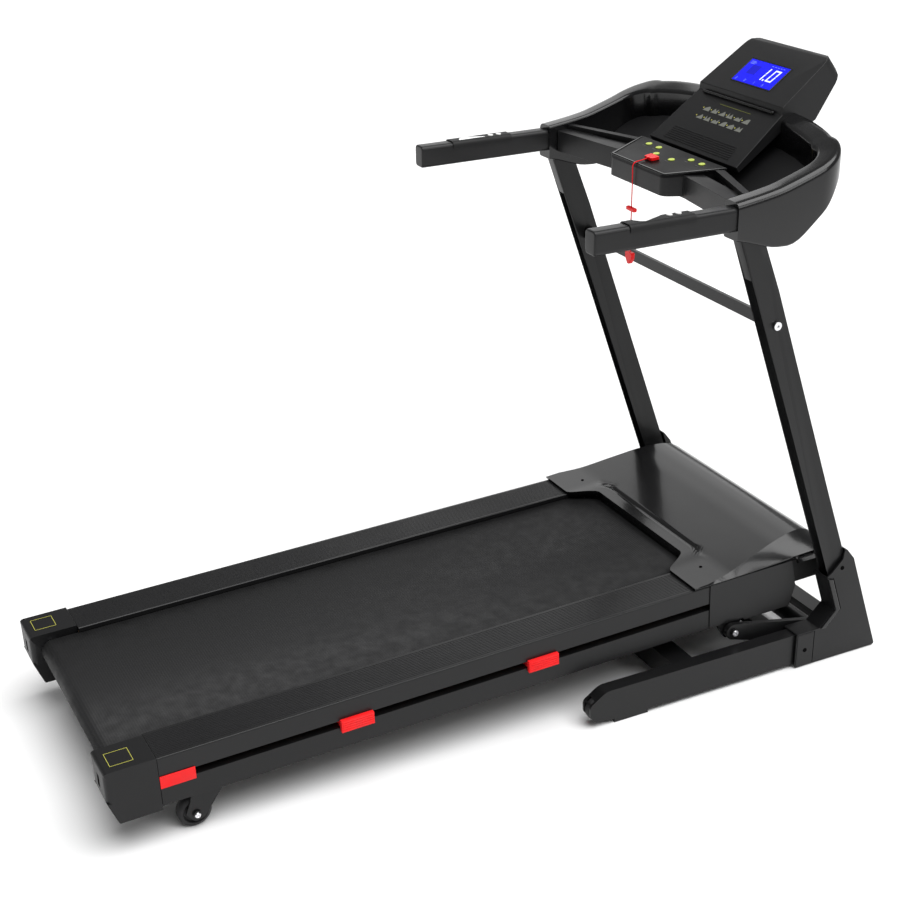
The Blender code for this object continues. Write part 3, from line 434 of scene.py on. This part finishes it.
def recess_look():
    """Near-black of a hole or a gap that light hardly reaches."""
    look = Look("recess_black", (0.0012, 0.0012, 0.0013), 0.9, specular=0.04)
    look.rough(look.noise(40.0, 3.0), 0.80, 0.95)
    look.bump(look.noise(800.0, 2.0), 0.00005, 0.4)
    look.tint(look.spread(look.noise(60.0, 4.0), 0.5, 0.8, 0.0, 0.5), (0.003, 0.003, 0.003))
    return look.material


def wood_look():
    look = Look("board_wood", (0.16, 0.10, 0.06), 0.5)
    grain = look.noise(25.0, 6.0, look.scaled((14.0, 1.0, 14.0)))
    look.tint(look.spread(grain, 0.35, 0.7), (0.07, 0.042, 0.025))
    look.bump(grain, 0.0002, 0.5)
    look.rough(grain, 0.4, 0.65)
    return look.material


GLOSS = plastic("gloss_black", (0.0045, 0.0045, 0.0049), 0.15, 0.23, 0.000008, 240.0, 0.25)
SATIN = plastic("satin_black", (0.0065, 0.0065, 0.0070), 0.36, 0.48, 0.00007, 1100.0)
KEY_PANEL = plastic("key_panel_black", (0.0035, 0.0035, 0.0038), 0.30, 0.42, 0.00004, 900.0, specular=0.08)
MATT = plastic("matt_black", (0.004, 0.004, 0.0043), 0.5, 0.65)
PAINT = paint("black_powder_coat", (0.0060, 0.0060, 0.0064), 0.30, 0.40)
RAIL = paint("black_rail", (0.0085, 0.0085, 0.0090), 0.32, 0.44)
BELT = belt_look()
GRIP = grip_look()
RED = plastic("red_plastic", (0.88, 0.006, 0.008), 0.30, 0.42, 0.00006, 700.0)
RED_RUBBER = rubber_look("red_rubber", (0.86, 0.006, 0.008))
TYRE = rubber_look("wheel_rubber", (0.012, 0.012, 0.013))
DRIVE = rubber_look("drive_rubber", (0.010, 0.010, 0.011))
CHROME = metal("chrome", (0.82, 0.82, 0.84), 0.14)
STEEL = metal("steel", (0.50, 0.50, 0.52), 0.32)
SILVER = plate_look()
CASING = metal("motor_casing", (0.10, 0.10, 0.105), 0.45)
WHITE = plastic("white_plastic", (0.80, 0.80, 0.79), 0.28, 0.40)
GREEN = plastic("yellow_green_plastic", (0.50, 0.60, 0.10), 0.35, 0.45)
BLUE = glow("display_blue", (0.006, 0.008, 0.90), 0.9)
DEEP_BLUE = glow("display_deep", (0.003, 0.004, 0.60), 0.8)
WHITE_GLOW = glow("display_white", (0.75, 0.80, 1.0), 1.3)
PALE_GLOW = glow("display_pale", (0.16, 0.22, 1.0), 1.0)
GREY_INK = print_look("grey_ink", (0.17, 0.175, 0.155))
YELLOW_INK = print_look("yellow_ink", (0.62, 0.60, 0.10))
OLIVE_INK = print_look("olive_ink", (0.20, 0.22, 0.03))
CORD = cord_look()
WOOD = wood_look()
RECESS = recess_look()

CAD_LOOKS = {
    PAINT: ("base_frame", "upright_L", "upright_R", "upright_crossbar", "deck_frame", "lift_frame",
            "hinge_shaft", "motor_pan"),
    GLOSS: ("yoke_housing", "motor_hood"),
    KEY_PANEL: ("keypad_plate",),
    SATIN: ("base_cover_L", "base_cover_R", "console_crossbar", "console_pod", "end_cap_L", "end_cap_R"),
    RAIL: ("foot_rail_L", "foot_rail_R"),
    MATT: ("handle_module_L", "handle_module_R", "power_inlet"),
    GRIP: ("handle_L", "handle_R"),
    BELT: ("running_belt",),
    WOOD: ("running_board",),
    DRIVE: ("drive_belt",),
    STEEL: ("front_roller", "rear_roller", "motor_pulley", "incline_rod"),
    CASING: ("drive_motor", "incline_motor"),
    CHROME: ("crossbar_bolt_L", "crossbar_bolt_R"),
    WHITE: ("handle_button_L1", "handle_button_L2", "handle_button_R1", "handle_button_R2"),
    GREEN: tuple(f"key_{number}" for number in range(1, 7)),
    RED: ("safety_key", "cord_slider", "cord_clip"),
    RED_RUBBER: tuple(f"cushion_{number}_{side}" for number in (1, 2, 3) for side in "LR"),
    TYRE: ("deck_wheel_L", "deck_wheel_R", "base_wheel_L", "base_wheel_R"),
    BLUE: ("display_panel",),
    CORD: ("safety_cord",),
}
EDGE_ROUNDING = {
    "yoke_housing": 0.0060, "console_pod": 0.0035, "end_cap_L": 0.0020, "end_cap_R": 0.0020,
    "motor_hood": 0.0015, "base_cover_L": 0.0018, "base_cover_R": 0.0018, "console_crossbar": 0.0030,
    "keypad_plate": 0.0010, "running_belt": 0.0, "safety_cord": 0.0, "foot_rail_L": 0.0006,
    "foot_rail_R": 0.0006, "upright_L": 0.0008, "upright_R": 0.0008,
}


def dress_cad():
    """Gives every CAD part its material and softly rounded edges."""
    for look, names in CAD_LOOKS.items():
        for name in names:
            node = nodes[name]
            node.data.materials.clear()
            node.data.materials.append(look)
            width = EDGE_ROUNDING.get(name, 0.0007)
            if "custom_normal" in node.data.attributes:
                node.data.attributes.remove(node.data.attributes["custom_normal"])
            node.data.polygons.foreach_set("use_smooth", [True] * len(node.data.polygons))
            weld = node.modifiers.new("weld", "WELD")
            weld.merge_threshold = 0.00001
            if not width:
                continue
            flat = node.modifiers.new("flat_faces", "DECIMATE")
            flat.decimate_type = "DISSOLVE"
            flat.angle_limit = math.radians(0.6)
            bevel = node.modifiers.new("edges", "BEVEL")
            bevel.width = width
            bevel.segments = 3
            bevel.limit_method = "ANGLE"
            bevel.angle_limit = math.radians(32)
            bevel.use_clamp_overlap = True
            normals = node.modifiers.new("normals", "WEIGHTED_NORMAL")
            normals.weight = 90
            normals.keep_sharp = False


dress_cad()


# --- cord piece ---------------------------------------------------------------

def make_cord():
    route = [Vector((CORD_X, y + CENTRE_SHIFT, z)) for y, z in CORD_ROUTE]
    points = smooth_line(route, 4 * CORD_RADIUS)
    curve = bpy.data.curves.new("cord", "CURVE")
    curve.dimensions = "3D"
    curve.bevel_depth = CORD_RADIUS
    curve.bevel_resolution = 4
    curve.use_fill_caps = True
    spline = curve.splines.new("POLY")
    spline.points.add(len(points) - 1)
    for point, spot in zip(spline.points, points):
        point.co = (*spot, 1.0)
    spline.use_smooth = True
    curve.materials.append(CORD)
    cord = bpy.data.objects.new("safety_lanyard", curve)
    bpy.context.scene.collection.objects.link(cord)
    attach(cord, "safety_key")
    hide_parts("safety_cord")


make_cord()


# --- deck details -------------------------------------------------------------

def make_rail_ribs():
    """Fine lengthwise ribs pressed into the top of both foot rails."""
    ribs = []
    for index in range(15):
        centre = 0.2170 + 0.0050 * index
        half, height = 0.0013, 0.0007
        work = bmesh.new()
        ends = []
        for u in (-1.3335, -0.1680):
            ends.append([work.verts.new((centre + across, u, up)) for across, up in (
                (-half, -0.0004), (half, -0.0004), (half * 0.6, height), (-half * 0.6, height))])
        for i in range(4):
            work.faces.new((ends[0][i], ends[0][(i + 1) % 4], ends[1][(i + 1) % 4], ends[1][i]))
        work.faces.new(ends[0])
        work.faces.new(ends[1])
        ribs.append(to_mesh(work))
    place_pair("rail_ribs", merged(ribs), RAIL, "deck", DECK)


def make_cushion_ribs():
    """Grip ribs on the outer faces of the red cushions."""
    for number, u in ((2, -0.9565), (3, -0.5615)):
        parts = []
        for index in range(5):
            up = -0.0606 + 0.0048 * index
            strip = slab(rectangle(u - 0.0310, u + 0.0310, up - 0.0011, up + 0.0011, 0.0010, 2),
                         0.3050, 0.3066, 0.0005, 1)
            parts.append(strip)
        mesh = merged(parts)
        mesh.transform(SIDEWAYS)
        place_pair(f"cushion_ribs_{number}", mesh, RED_RUBBER, "deck", DECK)


def make_cap_badges():
    """Plain dark panels with a thin yellow frame on top of the rear caps."""
    for side, sign in BOTH:
        x0, x1 = sorted((sign * 0.2380, sign * 0.2840))
        u0, u1 = -1.4170, -1.3700
        panel = slab(rectangle(x0, x1, u0, u1, 0.004), 0.0018, 0.0024, 0.0002, 1)
        place(f"cap_panel_{side}", panel, MATT, "deck", DECK)
        edge = 0.0008
        frame_bars = [rectangle(x0 + 0.002, x1 - 0.002, u0 + 0.002, u0 + 0.002 + edge),
                      rectangle(x0 + 0.002, x1 - 0.002, u1 - 0.002 - edge, u1 - 0.002),
                      rectangle(x0 + 0.002, x0 + 0.002 + edge, u0 + 0.002, u1 - 0.002),
                      rectangle(x1 - 0.002 - edge, x1 - 0.002, u0 + 0.002, u1 - 0.002)]
        mesh = merged([slab(bar, 0.0023, 0.0026) for bar in frame_bars])
        place(f"cap_frame_{side}", mesh, YELLOW_INK, "deck", DECK)


def wheel_mesh(radius, half_width, hub):
    """A tyre with rounded shoulders, a recessed web and a hub, turned about z."""
    shoulder = min(half_width * 0.5, radius * 0.16)
    rim = radius * 0.70
    half = [(radius - shoulder * 0.15, half_width - shoulder),
            (radius - shoulder, half_width - shoulder * 0.2),
            (rim + 0.0015, half_width), (rim, half_width - 0.0015), (rim * 0.95, half_width * 0.55),
            (hub * 1.5, half_width * 0.50), (hub * 1.15, half_width * 0.95), (hub * 0.8, half_width)]
    lower = [(r, -z) for r, z in reversed(half)]
    profile = [(hub * 0.62, -half_width), *lower,
               (radius, -half_width * 0.4), (radius, half_width * 0.4), *half,
               (hub * 0.62, half_width), (hub * 0.62, -half_width)]
    return turned(profile, 56)


def make_wheels():
    """Moulded wheels in place of the plain CAD rollers."""
    for stem, radius, hub in (("deck_wheel", 0.0325, 0.0090), ("base_wheel", None, 0.0080)):
        for side, _ in BOTH:
            node = f"{stem}_{side}"
            low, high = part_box(node)
            centre = (low + high) / 2
            size = radius or (high.z - low.z) / 2
            mesh = wheel_mesh(size, (high.x - low.x) / 2, hub)
            turn = Matrix.Translation(centre) @ Matrix.Rotation(math.pi / 2, 4, "Y")
            wheel = place(f"{stem}_tyre_{side}", mesh, TYRE, node, turn)
            smooth(wheel)
            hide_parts(node)


BOLT_HEIGHT = 0.0030


def bolt_mesh(radius, height):
    """A domed bolt head with a socket."""
    return turned([(0, 0), (radius, 0), (radius, height * 0.55), (radius * 0.82, height * 0.95),
                   (radius * 0.55, height), (radius * 0.45, height * 0.97), (radius * 0.42, height * 0.4),
                   (0, height * 0.35)], 24)


def make_bolts():
    """Bolt heads at the wheel brackets and the pivot plates."""
    side_turn = {1: Matrix.Rotation(math.pi / 2, 4, "Y"), -1: Matrix.Rotation(-math.pi / 2, 4, "Y")}
    spots = (("wheel_bolt", (0, -1.2750, -0.1460), 0.2949, 0.0056, CHROME),
             ("pivot_bolt", (0, -0.1183, -0.1166), 0.3180, 0.0070, STEEL))
    for name, spot, across, radius, look in spots:
        for side, sign in BOTH:
            matrix = DECK @ Matrix.Translation(spot) @ Matrix.Translation((sign * across, 0, 0))
            matrix = matrix @ side_turn[sign]
            bolt = place(f"{name}_{side}", bolt_mesh(radius, BOLT_HEIGHT), look, "deck", matrix)
            smooth(bolt)


make_rail_ribs()
make_cushion_ribs()
make_cap_badges()
make_wheels()
make_bolts()


COVER_SIDE = 0.36005
COVER_PLATES = (
    ("cover_rim", 0.3632, 0.0028, GLOSS, (
        (0.6800, 0.1965), (0.7071, 0.1172), (0.6712, 0.0808),
        (0.6860, 0.0795), (0.7190, 0.1160), (0.6925, 0.1940))),
    # a flat near-black strip inside the rim: painted shadow of the groove there
    ("cover_gap_shadow", 0.3603, 0.0, RECESS, (
        (0.6925, 0.1940), (0.7190, 0.1160), (0.6860, 0.0795),
        (0.6895, 0.0795), (0.7225, 0.1158), (0.6960, 0.1940))),
    ("cover_toe", 0.3612, 0.0008, SATIN, (
        (0.6150, 0.0045), (0.6560, 0.0045), (0.6560, 0.0785), (0.6150, 0.0785))),
    ("cover_seam", 0.3603, 0.0, RECESS, (
        (0.6560, 0.0045), (0.6585, 0.0045), (0.6585, 0.0785), (0.6560, 0.0785))))
COVER_SCREWS = (("upper_screw", 0.7160, 0.2130, COVER_SIDE), ("toe_screw", 0.6350, 0.0400, 0.36130))


def make_cover_trim():
    """A bevelled rim along each base cover's opening with a painted shadow strip inside it, a toe panel with
    its seam, and two screws whose near-black heads are painted shade of their sockets.
    """
    turn = SHIFT @ SIDEWAYS
    for name, high, bevel, look, outline in COVER_PLATES:
        mesh = slab(outline, COVER_SIDE, high, bevel, 2)
        mesh.transform(turn)
        place_pair(name, mesh, look, "base", None)
    for name, y, z, x in COVER_SCREWS:
        mesh = turned([(0, x), (0.0046, x), (0.0046, x + 0.0006), (0.0034, x + 0.0012), (0.0012, x + 0.0007),
                       (0, x + 0.0007)], 24)
        mesh.transform(turn @ Matrix.Translation((y, z, 0)))
        # the screw heads take the near-black recess colour: painted shade of their sockets
        for screw in place_pair(name, mesh, RECESS, "base", None):
            smooth(screw)


make_cover_trim()


# --- motor hood ---------------------------------------------------------------

HOOD_HALF = 0.3008
HOOD_FRONT, BAND_FRONT, HOOD_REAR = -0.2080, -0.1500, 0.1350
HOOD_LINE = ((-0.2080, 0.0060), (-0.1600, 0.0085), (-0.1210, 0.0110), (-0.0500, 0.0250), (0.0100, 0.0365),
             (0.0550, 0.0405), (0.0850, 0.0395), (0.1100, 0.0310), (0.1250, 0.0190), (0.1350, 0.0060))


def soft_interp(value, table, reach=0.010):
    """The table's line, with its corners rounded off over a short reach."""
    places, heights = zip(*table)
    return sum(float(np.interp(value + reach * step / 2, places, heights)) for step in range(-2, 3)) / 5


def smoothstep(value, low, high):
    t = min(1.0, max(0.0, (value - low) / (high - low)))
    return t * t * (3 - 2 * t)


def hood_front(across):
    """Where the hood's front edge lies: at the rail ends outside, back at the band over the belt."""
    return HOOD_FRONT + (BAND_FRONT - HOOD_FRONT) * (1 - smoothstep(abs(across), 0.165, 0.212))


def hood_height(across, u, edge):
    """Crowned top, slanted side facet, and a raised band with a groove behind it."""
    top = soft_interp(u, HOOD_LINE)
    band = 0.0020 * (1 - smoothstep(u, -0.1240, -0.1190)) * (1 - smoothstep(abs(across), 0.175, 0.215))
    groove = 0.0032 * math.exp(-((u + 0.1160) / 0.0038) ** 2) * (1 - smoothstep(abs(across), 0.165, 0.212))
    top += band - groove
    if abs(across) <= edge:
        return top
    share = (abs(across) - edge) / (HOOD_HALF - edge)
    low = 0.0045 + 0.0080 * smoothstep(u, -0.17, 0.12) - 0.0060 * smoothstep(u, 0.11, 0.135)
    return top + (min(top, low) - top) * share


def make_hood():
    """One moulded shell: crowned skin, front band, facets at both ends and a skirt all round."""
    inner, outer, rows = 40, 5, 124
    work = bmesh.new()
    grid = []
    for row in range(rows + 1):
        line = []
        for index in range(-inner - outer, inner + outer + 1):
            core = max(-1.0, min(1.0, index / inner))
            u = hood_front(core * HOOD_HALF) + (HOOD_REAR - hood_front(core * HOOD_HALF)) * row / rows
            edge = 0.2995 - 0.0560 * min(1.0, max(0.0, (u + 0.1750) / 0.2900))
            rest = max(0, abs(index) - inner) / outer
            across = math.copysign(abs(core) * edge + rest * (HOOD_HALF - edge), index)
            line.append(work.verts.new((across, u, hood_height(across, u, edge))))
        grid.append(line)
    for low, high in zip(grid, grid[1:]):
        for i in range(len(low) - 1):
            work.faces.new((low[i], low[i + 1], high[i + 1], high[i]))
    rim = grid[0] + [line[-1] for line in grid[1:]] + grid[-1][-2::-1] + [line[0] for line in grid[-2:0:-1]]
    floor = []
    for vert in rim:
        x, u, _ = vert.co
        if u > HOOD_REAR - 0.001:
            depth = -0.0580
        elif u > 0.046:
            depth = -0.0080
        elif abs(x) < 0.2085:
            depth = -0.0060
        else:
            depth = 0.0022
        floor.append(work.verts.new((x, u + (0.0045 if u > HOOD_REAR - 0.001 else 0.0), depth)))
    for i, vert in enumerate(rim):
        j = (i + 1) % len(rim)
        work.faces.new((vert, rim[j], floor[j], floor[i]))
    mesh = to_mesh(work)
    hood = place("hood_shell", mesh, GLOSS, "deck", DECK)
    thick = hood.modifiers.new("wall", "SOLIDIFY")
    thick.thickness = 0.0022
    thick.offset = -1
    smooth(hood, 25)
    columns = 2 * (inner + outer) + 1
    facet_lines = (outer, outer + 2 * inner)
    for line in hood.data.edges:
        first, second = sorted(line.vertices)
        lengthwise = second - first == columns and second < columns * (rows + 1)
        if lengthwise and first % columns in facet_lines:
            line.use_edge_sharp = True
    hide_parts("motor_hood")
    for side, sign in BOTH:
        x0, x1 = sorted((sign * 0.2845, sign * 0.2875))
        liner = slab(rectangle(x0, x1, 0.0280, 0.1365, 0.001), -0.0600, 0.0020, 0.0008, 1)
        place(f"hood_liner_{side}", liner, MATT, "deck", DECK)
        screw = turned([(0, 0.0), (0.0034, 0.0), (0.0034, 0.0008), (0.0026, 0.0013), (0.0010, 0.0009),
                        (0, 0.0009)], 24)
        # near-black screw head: painted shade of its socket
        screw = place(f"hood_screw_{side}", screw, RECESS, "deck",
                      DECK @ Matrix.Translation((sign * 0.2350, -0.1500, 0.0090)))
        smooth(screw)


make_hood()


# --- console ring -------------------------------------------------------------

RING_REAR = 0.3990
RING_BOW = ((0.0, 0.0320), (0.080, 0.0310), (0.150, 0.0280), (0.200, 0.0210), (0.240, 0.0120), (0.2835, 0.0))
RING_TOP = ((0.3800, 1.0280), (0.3985, 1.0300), (0.4577, 1.0380), (0.4974, 1.0450), (0.5373, 1.0570),
            (0.5775, 1.0700), (0.6200, 1.0880), (0.6500, 1.1030), (0.6600, 1.1120), (0.6750, 1.1180),
            (0.6920, 1.1220), (0.7300, 1.1240))
RING_LOW = ((0.3800, 0.9630), (0.4150, 0.9560), (0.4806, 0.9350), (0.5215, 0.9325), (0.5434, 0.9426),
            (0.5750, 0.9703), (0.6068, 0.9980), (0.6225, 1.0242), (0.6400, 1.0420), (0.6600, 1.0460),
            (0.7300, 1.0480))


def ring_side(outer, corner, turn):
    """Right half of one wall of the console ring in plan, from the arm's end to the middle."""
    points = [(outer, RING_REAR + (turn - RING_REAR) * i / 16) for i in range(16)]
    for step in range(19):
        angle = math.radians(90 * step / 18)
        points.append((outer - corner * (1 - math.cos(angle)), turn + corner * math.sin(angle)))
    last = points[-1]
    for step in range(1, 25):
        x = last[0] * (1 - step / 24)
        points.append((x, last[1] + soft_interp(x, RING_BOW, 0.012)))
    return points


def rounded_loop(corners, radii, steps=5):
    """A closed loop of points with each corner rounded."""
    loop = []
    for i, (corner, radius) in enumerate(zip(corners, radii)):
        before = (corners[i - 1] - corner).normalized() * radius + corner
        after = (corners[(i + 1) % len(corners)] - corner).normalized() * radius + corner
        for step in range(steps + 1):
            t = step / steps
            loop.append(before * (1 - t) ** 2 + corner * 2 * t * (1 - t) + after * t * t)
    return loop


def make_ring():
    """The console ring as one smooth sweep with a full, rounded outer rim."""
    half = list(zip(ring_side(0.3585, 0.075, 0.585), ring_side(0.3165, 0.045, 0.576)))
    whole = half + [((-outer[0], outer[1]), (-inner[0], inner[1])) for outer, inner in half[-2::-1]]
    work = bmesh.new()
    rings = []
    for outer, inner in whole:
        corners = [Vector((*wall, soft_interp(wall[1], line))) for wall, line in (
            (outer, RING_LOW), (outer, RING_TOP), (inner, RING_TOP), (inner, RING_LOW))]
        loop = rounded_loop(corners, (0.006, 0.016, 0.007, 0.004), 7)
        rings.append([work.verts.new(point) for point in loop])
    for first, second in zip(rings, rings[1:]):
        count = len(first)
        for i in range(count):
            j = (i + 1) % count
            work.faces.new((first[i], first[j], second[j], second[i]))
    work.faces.new(rings[0])
    work.faces.new(rings[-1])
    ring = place("console_ring", to_mesh(work), GLOSS, "base", SHIFT)
    smooth(ring, 50)
    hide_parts("yoke_housing")


make_ring()


# --- console details ----------------------------------------------------------

SEGMENTS = {"0": "abcdef", "1": "bc", "2": "abged", "3": "abgcd", "5": "afgcd", "8": "abcdefg"}


def digit_meshes(symbol, x, y, height, low, high, lean=0.12):
    """Seven-segment strokes of one digit with its lower left corner at x, y."""
    wide, thick = height * 0.58, height * 0.13
    half = height / 2
    bars = {"a": (0, wide, height - thick, height), "d": (0, wide, 0, thick),
            "g": (0, wide, half - thick / 2, half + thick / 2), "f": (0, thick, half, height),
            "e": (0, thick, 0, half), "b": (wide - thick, wide, half, height),
            "c": (wide - thick, wide, 0, half)}
    made = []
    for key in SEGMENTS[symbol]:
        x0, x1, y0, y1 = bars[key]
        trim = thick * 0.12
        outline = rectangle(x0 + trim, x1 - trim, y0 + trim, y1 - trim)
        made.append(slab([(x + px + py * lean, y + py) for px, py in outline], low, high))
    return made


def make_display():
    """Digits and small marks on the lit display."""
    low, high = 0.0005, 0.0009
    big = digit_meshes("1", -0.0050, 0.0453, 0.0330, low, high)
    big += digit_meshes("0", 0.0270, 0.0453, 0.0330, low, high)
    big.append(slab(rectangle(0.0185, 0.0225, 0.0453, 0.0493), low, high))
    small = []
    for column, symbol in enumerate("3015"):
        small += digit_meshes(symbol, -0.0560 + 0.0290 * column, 0.0320, 0.0062, low, high)
    for row in range(3):
        small.append(slab(rectangle(-0.0560, -0.0420 + 0.003 * (row % 2), 0.0838 - 0.003 * row,
                                    0.0851 - 0.003 * row), low, high))
    for column in range(5):
        left = 0.0100 + 0.0090 * column
        small.append(slab(rectangle(left, left + 0.0050, 0.0838, 0.0851), low, high))
    place("display_digits", merged(big), WHITE_GLOW, "base", FACE)
    place("display_marks", merged(small), PALE_GLOW, "base", FACE)
    block = slab(rectangle(-0.0420, -0.0160, 0.0528, 0.0768), 0.00045, 0.0006)
    place("display_block", block, DEEP_BLUE, "base", FACE)


def make_program_chart():
    """Two rows of small workout profiles with a yellow dot beside each."""
    shapes, dots = [], []
    heights = ((2, 3, 4, 3), (1, 4, 2, 4), (1, 2, 4, 2), (4, 1, 4, 1), (2, 3, 2, 4), (1, 3, 4, 4))
    for row in range(2):
        base = 0.0960 - 0.0215 * row
        for column in range(6):
            left = -0.0740 + 0.0262 * column
            steps = heights[(column + 2 * row) % 6]
            outline = [(left, base)]
            outline += [(left + 0.0052 * (i + 0.5), base + 0.0030 * step) for i, step in enumerate(steps)]
            outline += [(left + 0.0200, base)]
            shapes.append(slab(list(reversed(outline)), 0.00005, 0.0004))
            dot = turned([(0, 0.0), (0.0013, 0.0), (0.0013, 0.0003), (0, 0.0005)], 12)
            dot.transform(Matrix.Translation((left - 0.0030, base + 0.0060, 0.00005)))
            dots.append(dot)
    place("program_profiles", merged(shapes), GREY_INK, "base", POD)
    place("program_dots", merged(dots), YELLOW_INK, "base", POD)
    line = slab(rectangle(-0.0420, 0.0600, 0.1205, 0.1212), 0.00005, 0.0003)
    place("program_line", line, OLIVE_INK, "base", POD)


def make_pod_trim():
    """Ledge rod, vent ribs and a narrow frame round the display."""
    rod = bar_between((-0.1180, 0.1372, 0.0030), (0.1180, 0.1372, 0.0030), 0.0032, 16)
    smooth(place("ledge_rod", rod, GLOSS, "base", POD))
    ribs = []
    for i in range(7):
        half, low = 0.1120 - 0.0009 * i, 0.0100 + 0.0050 * i
        outline = rectangle(-half, half, low, 0.0122 + 0.0050 * i, 0.0010, 2)
        ribs.append(slab(outline, -0.0004, 0.0010, 0.0003, 1))
    place("speaker_ribs", merged(ribs), SATIN, "base", POD)
    bezel = [rectangle(-0.0655, 0.0655, 0.0910, 0.0932), rectangle(-0.0655, 0.0655, 0.0264, 0.0286),
             rectangle(-0.0655, -0.0632, 0.0286, 0.0910), rectangle(0.0632, 0.0655, 0.0286, 0.0910)]
    bezel = merged([slab(bar, 0.0001, 0.0009, 0.0003, 1) for bar in bezel])
    place("display_bezel", bezel, GLOSS, "base", FACE)


def make_key_marks():
    """Raised double lip round the key plate and a small mark under each key."""
    outline = [(-0.0975, -0.0600), (0.0975, -0.0600), (0.1515, 0.0535), (-0.1515, 0.0535)]
    inner = [(-0.0905, -0.0530), (0.0905, -0.0530), (0.1440, 0.0490), (-0.1440, 0.0490)]
    strips = []
    for index in (0, 1, 3):
        a, b = outline[index], outline[(index + 1) % 4]
        c, d = inner[(index + 1) % 4], inner[index]
        near, far = (tuple(p + (q - p) * 0.55 for p, q in zip(*ends)) for ends in ((a, d), (b, c)))
        strips.append(slab([near, far, c, d], 0.0001, 0.0012, 0.0004, 1))
    place("key_plate_lip", merged(strips), GLOSS, "base", KEYS)
    marks = []
    for x, y in ((-0.093, 0.0320), (-0.057, 0.0320), (0.057, 0.0320), (0.093, 0.0320),
                 (-0.027, 0.0060), (0.027, 0.0060)):
        marks.append(slab(rectangle(x - 0.0045, x + 0.0045, y - 0.0125, y - 0.0118), 0.0001, 0.0003))
    place("key_marks", merged(marks), GREY_INK, "base", KEYS)


def make_handle_plates():
    """A bright crescent sensor plate on each handle inlay."""
    outline = [(0.3285, 0.1905), (0.3330, 0.1912), (0.3400, 0.1965), (0.3450, 0.2030), (0.3468, 0.2090),
               (0.3455, 0.2150), (0.3420, 0.2230), (0.3380, 0.2320), (0.3335, 0.2430), (0.3300, 0.2500),
               (0.3285, 0.2500)]
    mesh = slab(outline, 1.02325, 1.02400, 0.0002, 1)
    place_pair("sensor_plate", mesh, SILVER, "base", SHIFT)


make_display()
make_program_chart()
make_pod_trim()
make_key_marks()
make_handle_plates()


# --- stage --------------------------------------------------------------------

FLOOR_HALF = 60.0
WORLD_STRENGTH = 0.26
SUN_STRENGTH, SUN_ANGLE, SUN_DIRECTION = 3.5, 60, Vector((-0.30, -0.16, -1.0))
SOFTBOXES = (((3.2, 1.6, 2.6), 1.2, 16), ((-3.4, 2.3, 2.3), 2.6, 22))     # place, side and power


def make_stage():
    """A plain pale floor, an even sky, one soft sun and two softboxes."""
    floor = bpy.data.meshes.new("floor")
    work = bmesh.new()
    corners = ((-1, -1), (1, -1), (1, 1), (-1, 1))
    work.faces.new([work.verts.new((FLOOR_HALF * x, FLOOR_HALF * y, 0)) for x, y in corners])
    work.to_mesh(floor)
    work.free()
    look = bpy.data.materials.new("floor")
    look.use_nodes = True
    shader = look.node_tree.nodes["Principled BSDF"]
    shader.inputs["Base Color"].default_value = (0.90, 0.90, 0.90, 1)
    shader.inputs["Roughness"].default_value = 0.9
    shader.inputs["Specular IOR Level"].default_value = 0.1
    floor.materials.append(look)
    ground = bpy.data.objects.new("floor", floor)
    ground.location.z = -0.0002
    bpy.context.scene.collection.objects.link(ground)
    world = bpy.data.worlds.new("studio")
    world.use_nodes = True
    background = world.node_tree.nodes["Background"]
    background.inputs["Color"].default_value = (1.0, 1.0, 1.0, 1)
    background.inputs["Strength"].default_value = WORLD_STRENGTH
    bpy.context.scene.world = world
    sun = bpy.data.lights.new("sun", "SUN")
    sun.energy = SUN_STRENGTH
    sun.angle = math.radians(SUN_ANGLE)
    lamp = bpy.data.objects.new("sun", sun)
    lamp.rotation_euler = SUN_DIRECTION.to_track_quat("-Z", "Y").to_euler()
    bpy.context.scene.collection.objects.link(lamp)
    for index, (spot, side, power) in enumerate(SOFTBOXES):
        data = bpy.data.lights.new(f"softbox_{index}", "AREA")
        data.size = side
        data.energy = power
        lamp = bpy.data.objects.new(f"softbox_{index}", data)
        lamp.location = spot
        lamp.rotation_euler = (Vector((0, 0, 0.6)) - Vector(spot)).to_track_quat("-Z", "Y").to_euler()
        bpy.context.scene.collection.objects.link(lamp)


make_stage()
bpy.context.scene.view_settings.view_transform = "Standard"
